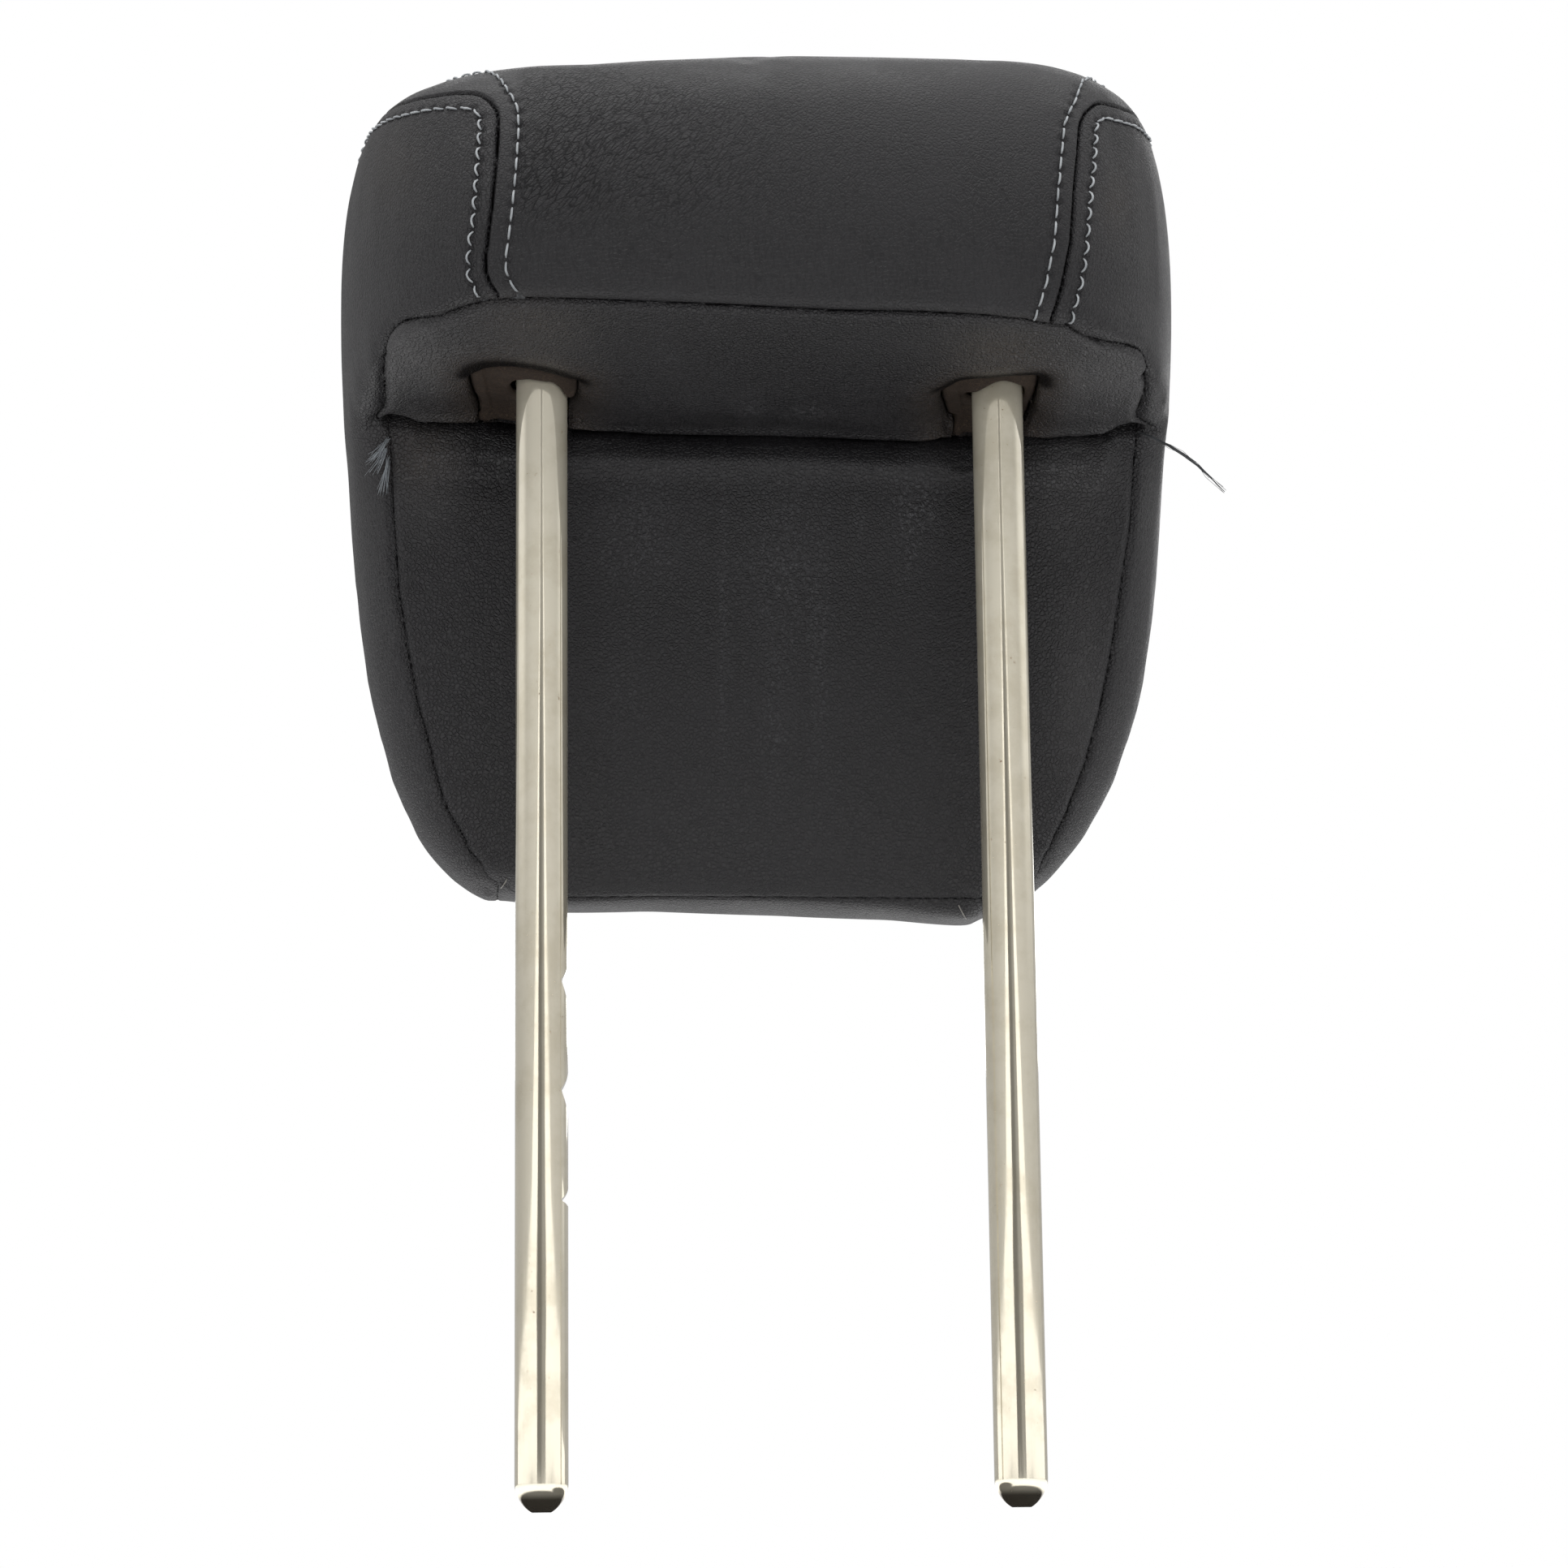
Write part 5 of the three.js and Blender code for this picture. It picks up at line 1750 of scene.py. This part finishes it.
@dataclass
class TwinStitching:
    """Four rows of pale stitches beside the two twin seams."""

    rows: list[np.ndarray]
    surface: BVHTree
    pitch_mm: float = 4.9
    gap_mm: float = 1.2
    thread_mm: float = 0.62
    end_skip_mm: float = 0.4
    bow_mm: float = 0.55
    sides: int = 6
    holes: list[Vector] = field(default_factory=list)
    stitches: list[list[Vector]] = field(default_factory=list)

    def lay(self) -> None:
        """Works out where each stitch runs and where the needle went in."""
        for number, row in enumerate(self.rows):
            facing = self.rows[number ^ 1]
            bow = self.bow_mm if number % 2 else 0.0
            steps = np.linalg.norm(np.diff(row, axis=0), axis=1)
            run = np.concatenate([[0.0], np.cumsum(steps)])
            total = run[-1]
            count = round((total / MM - 2 * self.end_skip_mm) / self.pitch_mm)
            first = (total - count * self.pitch_mm * MM) / 2
            for index in range(count):
                begin = first + index * self.pitch_mm * MM
                end = begin + (self.pitch_mm - self.gap_mm) * MM
                places = np.linspace(begin, end, 6)
                line = np.array([[np.interp(s, run, row[:, k]) for k in range(3)] for s in places])
                away = line[2] - facing[np.argmin(np.linalg.norm(facing - line[2], axis=1))]
                away *= bow * MM / np.linalg.norm(away)
                line += away * np.sin(np.linspace(0, math.pi, 6))[:, None]
                self.stitches.append([Vector(point) for point in line])
                self.holes.append(Vector([np.interp(end + self.gap_mm * MM / 2, run, row[:, k]) for k in range(3)]))

    def build(self) -> Object:
        """Sews the stitches as short arched threads that dive into the leather at both ends.

        Returns:
            The stitching, as one piece.
        """
        shape = bmesh.new()
        dice = random.Random(7)
        lifts = (-0.55, 0.1, 0.3, 0.3, 0.1, -0.55)
        shares = (0.75, 1.0, 1.0, 1.0, 1.0, 0.75)
        for stitch in self.stitches:
            lean = dice.uniform(-0.12, 0.12) * MM
            middles, normals = [], []
            for index, point in enumerate(stitch):
                found, normal, _, _ = self.surface.find_nearest(point)
                along = (stitch[min(index + 1, 5)] - stitch[max(index - 1, 0)]).normalized()
                across = along.cross(normal).normalized()
                sway = across * lean * math.sin(math.pi * index / 5)
                middles.append(found + normal * (lifts[index] + 0.12) * MM + sway)
                normals.append(normal)
            add_tube(shape, middles, [self.thread_mm / 2 * MM * share for share in shares], self.sides, normals)
        return thread_piece("twin_seam_stitches", shape, PolyesterThread().build())


@dataclass
class LooseThreads:
    """Thread ends that wear has pulled out: a frayed tuft, one long end and two short ones."""

    camera: Camera
    surface: BVHTree
    tuft: tuple[tuple[float, float, float, float, int], ...] = (
        (478, 541, 458, 568, 16), (476, 553, 462, 583, 10), (478, 566, 473, 607, 16))
    long_end: tuple[tuple[float, float, float, float], ...] = (
        (1402, 532, 0.0, 0.30), (1420, 539, -2.0, 0.32), (1440, 549, -3.0, 0.42), (1458, 560, -3.0, 0.5),
        (1475, 573, -3.0, 0.36), (1490, 587, -3.0, 0.2), (1509, 606, -3.0, 0.1))
    short_ends: tuple[tuple[float, float, float, float], ...] = ((617, 1094, 625, 1082), (1181, 1115, 1191, 1132))

    def hit(self, px: float, py: float) -> tuple[Vector, Vector]:
        """Finds the leather behind a pixel of the photograph.

        Args:
            px: Pixels from the left edge.
            py: Pixels from the top edge.

        Returns:
            The place on the leather and its outward direction.
        """
        place, normal, _, _ = self.surface.ray_cast(self.camera.place(), self.camera.ray(px, py))
        if place is None:
            place = self.camera.at_depth(px, py, 30.0)
            place, normal, _, _ = self.surface.find_nearest(place)
        return place, normal

    def build_tuft(self) -> Object:
        """Builds the frayed tuft at the left end of the crease.

        Returns:
            The tuft.
        """
        shape = bmesh.new()
        dice = random.Random(21)
        for x0, y0, x1, y1, count in self.tuft:
            for _ in range(count):
                start, out = self.hit(x0 + dice.gauss(0, 1.5), y0 + dice.gauss(0, 2.0))
                end, normal = self.hit(x1 + dice.gauss(0, 4.0), y1 + dice.gauss(0, 3.0))
                end = end + normal * dice.uniform(0.3, 1.6) * MM
                middle = (start + end) / 2 + out * dice.uniform(0.8, 2.0) * MM
                line = [(1 - t) ** 2 * start + 2 * t * (1 - t) * middle + t * t * end
                        for t in (0, 0.25, 0.5, 0.75, 1)]
                add_tube(shape, line, [0.08 * MM, 0.08 * MM, 0.07 * MM, 0.06 * MM, 0.03 * MM], 4)
        return thread_piece("frayed_thread_tuft", shape,
                            PolyesterThread("frayed_polyester_thread", "#a2a8ae", "#686d73").build())

    def build_long_end(self) -> Object:
        """Builds the long loose end at the right end of the crease.

        Returns:
            The loose end.
        """
        shape = bmesh.new()
        dice = random.Random(5)
        first, normal = self.hit(*self.long_end[0][:2])
        base = first.y / MM
        line = [first - normal * 1.0 * MM]
        line += [self.camera.at_depth(x, y, base + away) for x, y, away, _ in self.long_end]
        radii = [0.3 * MM] + [r * MM for _, _, _, r in self.long_end]
        add_tube(shape, line, radii, 6)
        for _ in range(9):
            from_end = dice.choice((1, 2, 3))
            strand = line[from_end:from_end + 5]
            spread = [p + Vector([dice.gauss(0, 0.35) for _ in range(3)]) * MM * (0.3 + 0.3 * k)
                      for k, p in enumerate(strand)]
            add_tube(shape, spread, [0.07 * MM] * len(spread), 4)
        return thread_piece("loose_thread_end", shape,
                            PolyesterThread("black_polyester_thread", "#34373b", "#1a1b1d").build())

    def build_short_ends(self) -> Object:
        """Builds the two short pale ends at the flap's lower corners.

        Returns:
            Both ends as one piece.
        """
        shape = bmesh.new()
        for x0, y0, x1, y1 in self.short_ends:
            line = []
            for step in range(7):
                share = step / 6
                place, normal = self.hit(x0 + (x1 - x0) * share, y0 + (y1 - y0) * share)
                line.append(place + normal * (0.15 + 0.5 * math.sin(math.pi * share)) * MM)
            add_tube(shape, line, [0.16 * MM] * 6 + [0.08 * MM], 5)
        return thread_piece("short_thread_ends", shape,
                            PolyesterThread("bleached_polyester_thread", "#a9a59d", "#6b6964").build())

    def build(self) -> None:
        """Builds all the loose ends."""
        self.build_tuft()
        self.build_long_end()
        self.build_short_ends()


@dataclass
class PostFrame:
    """The bent steel bar: two posts, joined by a crossbar inside the head."""

    radius: float = 7.0
    post_x: float = 62.5
    bar_z: float = 352.0
    bend: float = 28.0
    tip_rounding: float = 7.4
    tip_flat: float = 2.7
    tip_steps: int = 12
    bend_steps: int = 16
    cutter_reach: float = 9.0
    sides: int = 64
    notch_tops: tuple[float, ...] = (138.5, 109.5)
    stop_top: float = 80.5
    notch_depth: float = 1.9

    def path(self) -> list[tuple[Vector, Vector]]:
        """Gives points and directions along the bar, from the left tip to the right tip.

        Returns:
            Pairs of a place in millimetres and a direction.
        """
        turn_x, turn_z = self.post_x - self.bend, self.bar_z - self.bend
        stations = [(Vector((-self.post_x, 0, z)), Vector((0, 0, 1))) for z in (self.tip_rounding, 150.0, turn_z)]
        for step in range(1, self.bend_steps + 1):
            a = math.pi / 2 * step / self.bend_steps
            place = Vector((-turn_x - self.bend * math.cos(a), 0, turn_z + self.bend * math.sin(a)))
            stations.append((place, Vector((math.sin(a), 0, math.cos(a)))))
        for step in range(self.bend_steps + 1):
            a = math.pi / 2 * step / self.bend_steps
            place = Vector((turn_x + self.bend * math.sin(a), 0, turn_z + self.bend * math.cos(a)))
            stations.append((place, Vector((math.cos(a), 0, -math.sin(a)))))
        stations += [(Vector((self.post_x, 0, z)), Vector((0, 0, -1))) for z in (150.0, self.tip_rounding)]
        return stations

    def bar(self) -> Object:
        """Draws a circle along the bar's path and rounds both tips.

        Returns:
            The plain bar, without notches.
        """
        bpy.ops.object.select_all(action="DESELECT")
        bpy.ops.mesh.primitive_circle_add(vertices=self.sides, radius=self.tip_flat * MM, fill_type="NGON",
                                          location=(-self.post_x * MM, 0, 0))
        bar = bpy.context.active_object
        bar.name = "plated_post_frame"
        bpy.ops.object.transform_apply(location=True, rotation=False, scale=False)
        shape = bmesh.new()
        shape.from_mesh(bar.data)
        face = shape.faces[:][0]
        rim = [v.co - Vector((-self.post_x, 0, 0)) * MM for v in face.verts]
        spokes = [v.normalized() for v in rim]
        rounding = []
        inset = self.radius - self.tip_flat
        arc = (inset ** 2 + self.tip_rounding ** 2) / (2 * inset)
        for step in range(1, self.tip_steps + 1):
            a = math.asin(self.tip_rounding / arc) * (1 - step / self.tip_steps)
            rounding.append((self.radius - arc * (1 - math.cos(a)), self.tip_rounding - arc * math.sin(a)))
        rings = [[v for v in face.verts]]
        front = Vector((0, 1, 0))

        def add_ring(place: Vector, way: Vector, radius: float) -> None:
            """Adds one ring across the bar."""
            side = Vector((way.z, 0, -way.x))
            places = (place + (side * s.x + front * s.y) * radius for s in spokes)
            rings.append([shape.verts.new(p * MM) for p in places])

        for radius, height in rounding:
            add_ring(Vector((-self.post_x, 0, height)), Vector((0, 0, 1)), radius)
        for place, way in self.path()[1:]:
            add_ring(place, way, self.radius)
        for radius, height in rounding[-2::-1]:
            add_ring(Vector((self.post_x, 0, height)), Vector((0, 0, -1)), radius)
        add_ring(Vector((self.post_x, 0, 0)), Vector((0, 0, -1)), self.tip_flat)
        for low, high in zip(rings, rings[1:]):
            for k in range(len(low)):
                shape.faces.new((low[k], low[(k + 1) % len(low)], high[(k + 1) % len(low)], high[k]))
        shape.faces.new(rings[-1])
        bmesh.ops.recalc_face_normals(shape, faces=shape.faces)
        shape.to_mesh(bar.data)
        shape.free()
        return bar

    def notch_outline(self, top: float, upper: float, lower: float) -> list[tuple[float, float]]:
        """Gives a notch's outline across the post's inner side.

        Args:
            top: Height of the deepest line, in millimetres.
            upper: Height of the rounded upper run.
            lower: Height of the sloping lower run.

        Returns:
            Points of x and z in millimetres.
        """
        face = -self.post_x + self.radius
        points = [(face + 4, top + upper)]
        for step in range(9):
            t = step / 8
            points.append((face + 0.02 - self.notch_depth * t ** 2.2, top + upper * (1 - t)))
        for step in range(1, 8):
            t = step / 7
            points.append((face + 0.02 - self.notch_depth * (1 - t) ** 1.7, top - 0.3 - (lower - 0.3) * t))
        points.append((face + 4, top - lower))
        return points

    def cut_notches(self, bar: Object) -> None:
        """Cuts the two height notches and the stop, and softens their edges.

        Args:
            bar: The plain bar.
        """
        cutters = bmesh.new()
        runs = [(z, 5.6, 8.0) for z in self.notch_tops] + [(self.stop_top, 3.6, 1.9)]
        for top, upper, lower in runs:
            outline = self.notch_outline(top, upper, lower)
            near = [cutters.verts.new((x * MM, -self.cutter_reach * MM, z * MM)) for x, z in outline]
            far = [cutters.verts.new((x * MM, self.cutter_reach * MM, z * MM)) for x, z in outline]
            cutters.faces.new(near)
            cutters.faces.new(far[::-1])
            for k in range(len(outline)):
                j = (k + 1) % len(outline)
                cutters.faces.new((near[j], near[k], far[k], far[j]))
        bmesh.ops.recalc_face_normals(cutters, faces=cutters.faces)
        mesh = bpy.data.meshes.new("notch_cutters")
        cutters.to_mesh(mesh)
        cutters.free()
        tool = link_mesh("notch_cutters", mesh)
        apply_modifier(bar, "BOOLEAN", operation="DIFFERENCE", solver="EXACT", object=tool)
        bpy.data.objects.remove(tool)
        apply_modifier(bar, "BEVEL", limit_method="ANGLE", angle_limit=math.radians(28), width=0.35 * MM,
                       segments=3)
        bpy.ops.object.shade_smooth_by_angle(angle=math.radians(35))

    def build(self) -> Object:
        """Builds the bar and dresses it.

        Returns:
            The finished bar.
        """
        bar = self.bar()
        self.cut_notches(bar)
        place_piece(bar, NickelPlate().build(), ("post_frame",))
        return bar


@dataclass
class SlotLining:
    """The felt that closes one slot round its post, a little below the leather."""

    slot: SlotShape
    node: str
    sags: tuple[tuple[float, float, float, float], ...]
    hole_radius: float = 8.0
    hole_shift: float = -0.5
    edge_gap: float = 0.35
    edge_roll: float = 2.0
    step_inset: float = 3.3
    step_height: float = 0.7
    thickness: float = 1.5

    def sink(self, x: np.ndarray, y: np.ndarray) -> np.ndarray:
        """Works out how far the felt lies above the leather's underside.

        Args:
            x: Places across, in millimetres.
            y: Places from rear to front.

        Returns:
            Heights in millimetres.
        """
        rim = -self.slot.distance(x, y) - self.edge_gap
        round_post = np.hypot(x - self.slot.post_x - self.hole_shift, y) - self.hole_radius
        wall = np.interp(y, (-15.0, 18.0), self.slot.wall_x) + self.step_inset
        drift = np.array([noise.noise(Vector((a, b, 0.0)) * 0.25) for a, b in zip(x.tolist(), y.tolist())])
        for sag_x, sag_y, reach, drop in self.sags:
            drift = drift - drop / 0.35 * np.exp(-((x - sag_x) ** 2 + (y - sag_y) ** 2) / reach ** 2)
        return (0.5 + rolled(np.maximum(rim, 0), self.edge_roll, 1.0) + rolled(np.maximum(round_post, 0), 1.6, 0.9)
                + self.step_height * smooth((x - wall) / 0.6) + 0.35 * drift)

    def build(self, felt: Material, patch: Mesh) -> Object:
        """Builds the felt from the surface inside the slot.

        Args:
            felt: The lining's material.
            patch: The surface inside the slot.

        Returns:
            The felt.
        """
        piece = link_mesh(self.node.replace("liner", "lining"), patch)
        shape = bmesh.new()
        shape.from_mesh(patch)
        middle = self.slot.post_x + self.hole_shift

        def away(vert: BMVert) -> float:
            """Gives a vertex's distance from the hole's middle, in millimetres."""
            return math.hypot(vert.co.x / MM - middle, vert.co.y / MM)

        hole = [f for f in shape.faces if all(away(v) < self.hole_radius + 0.2 for v in f.verts)]
        bmesh.ops.delete(shape, geom=hole, context="FACES")
        for vert in {v for e in shape.edges if e.is_boundary for v in e.verts}:
            x, y = vert.co.x / MM, vert.co.y / MM
            reach = away(vert)
            if reach < self.hole_radius + 1.5:
                x, y = middle + (x - middle) * self.hole_radius / reach, y * self.hole_radius / reach
            elif abs(self.slot.distance(np.array([x]), np.array([y]))[0]) < 1.4:
                x, y = self.slot.snapped(x, y, -self.edge_gap)
            vert.co.x, vert.co.y = x * MM, y * MM
        shape.to_mesh(patch)
        shape.free()
        points = coordinates(patch)
        points[:, 2] += self.sink(points[:, 0] / MM, points[:, 1] / MM) * MM
        write_coordinates(patch, points)
        apply_modifier(piece, "SOLIDIFY", thickness=self.thickness * MM, offset=-1.0)
        bpy.ops.object.shade_smooth()
        place_piece(piece, felt, (self.node,))
        return piece


def dress_inner_pieces() -> None:
    """Gives the hidden CAD pieces their finishes."""
    plastic = MouldedPlastic().build()
    zinc = ZincPlate().build()
    tape = WovenTape().build()
    finishes = {
        "carrier_front": plastic, "carrier_rear": plastic,
        "closing_strip_upper": plastic, "closing_strip_lower": plastic,
        "seam_tape_left": tape, "seam_tape_right": tape,
    }
    finishes.update({f"carrier_screw_{k}": zinc for k in range(1, 5)})
    for name, material in finishes.items():
        mesh = bpy.data.objects[name].data
        mesh.materials.clear()
        mesh.materials.append(material)
        LOG.info("%s dressed as %s", name, material.name)


def main() -> None:
    """Builds the studio and the headrest's pieces in order."""
    logging.basicConfig(level=logging.INFO, format="%(message)s", force=True)
    camera = Camera()
    camera.build()
    Studio().build()
    cover = HeadCover(camera)
    cover.build()
    surface = BVHTree.FromObject(cover.form, bpy.context.evaluated_depsgraph_get())
    stitching = TwinStitching(cover.rows, surface)
    stitching.lay()
    felt = NeedleFelt().build()
    sags = (((-62.5, -6.0, 7.0, 2.0), (-55.3, -4.0, 4.0, 3.4)), ((56.8, -6.0, 4.0, 1.7),))
    for slot, node, hung, patch in zip(SLOTS, ("slot_liner_left", "slot_liner_right"), sags, cover.felts):
        SlotLining(slot, node, hung).build(felt, patch)
    FoamPad().build(cover.core, cover.core_seam)
    cover.finish(stitching.holes)
    stitching.build()
    LooseThreads(camera, surface).build()
    PostFrame().build()
    dress_inner_pieces()


if __name__ == "__main__":
    main()
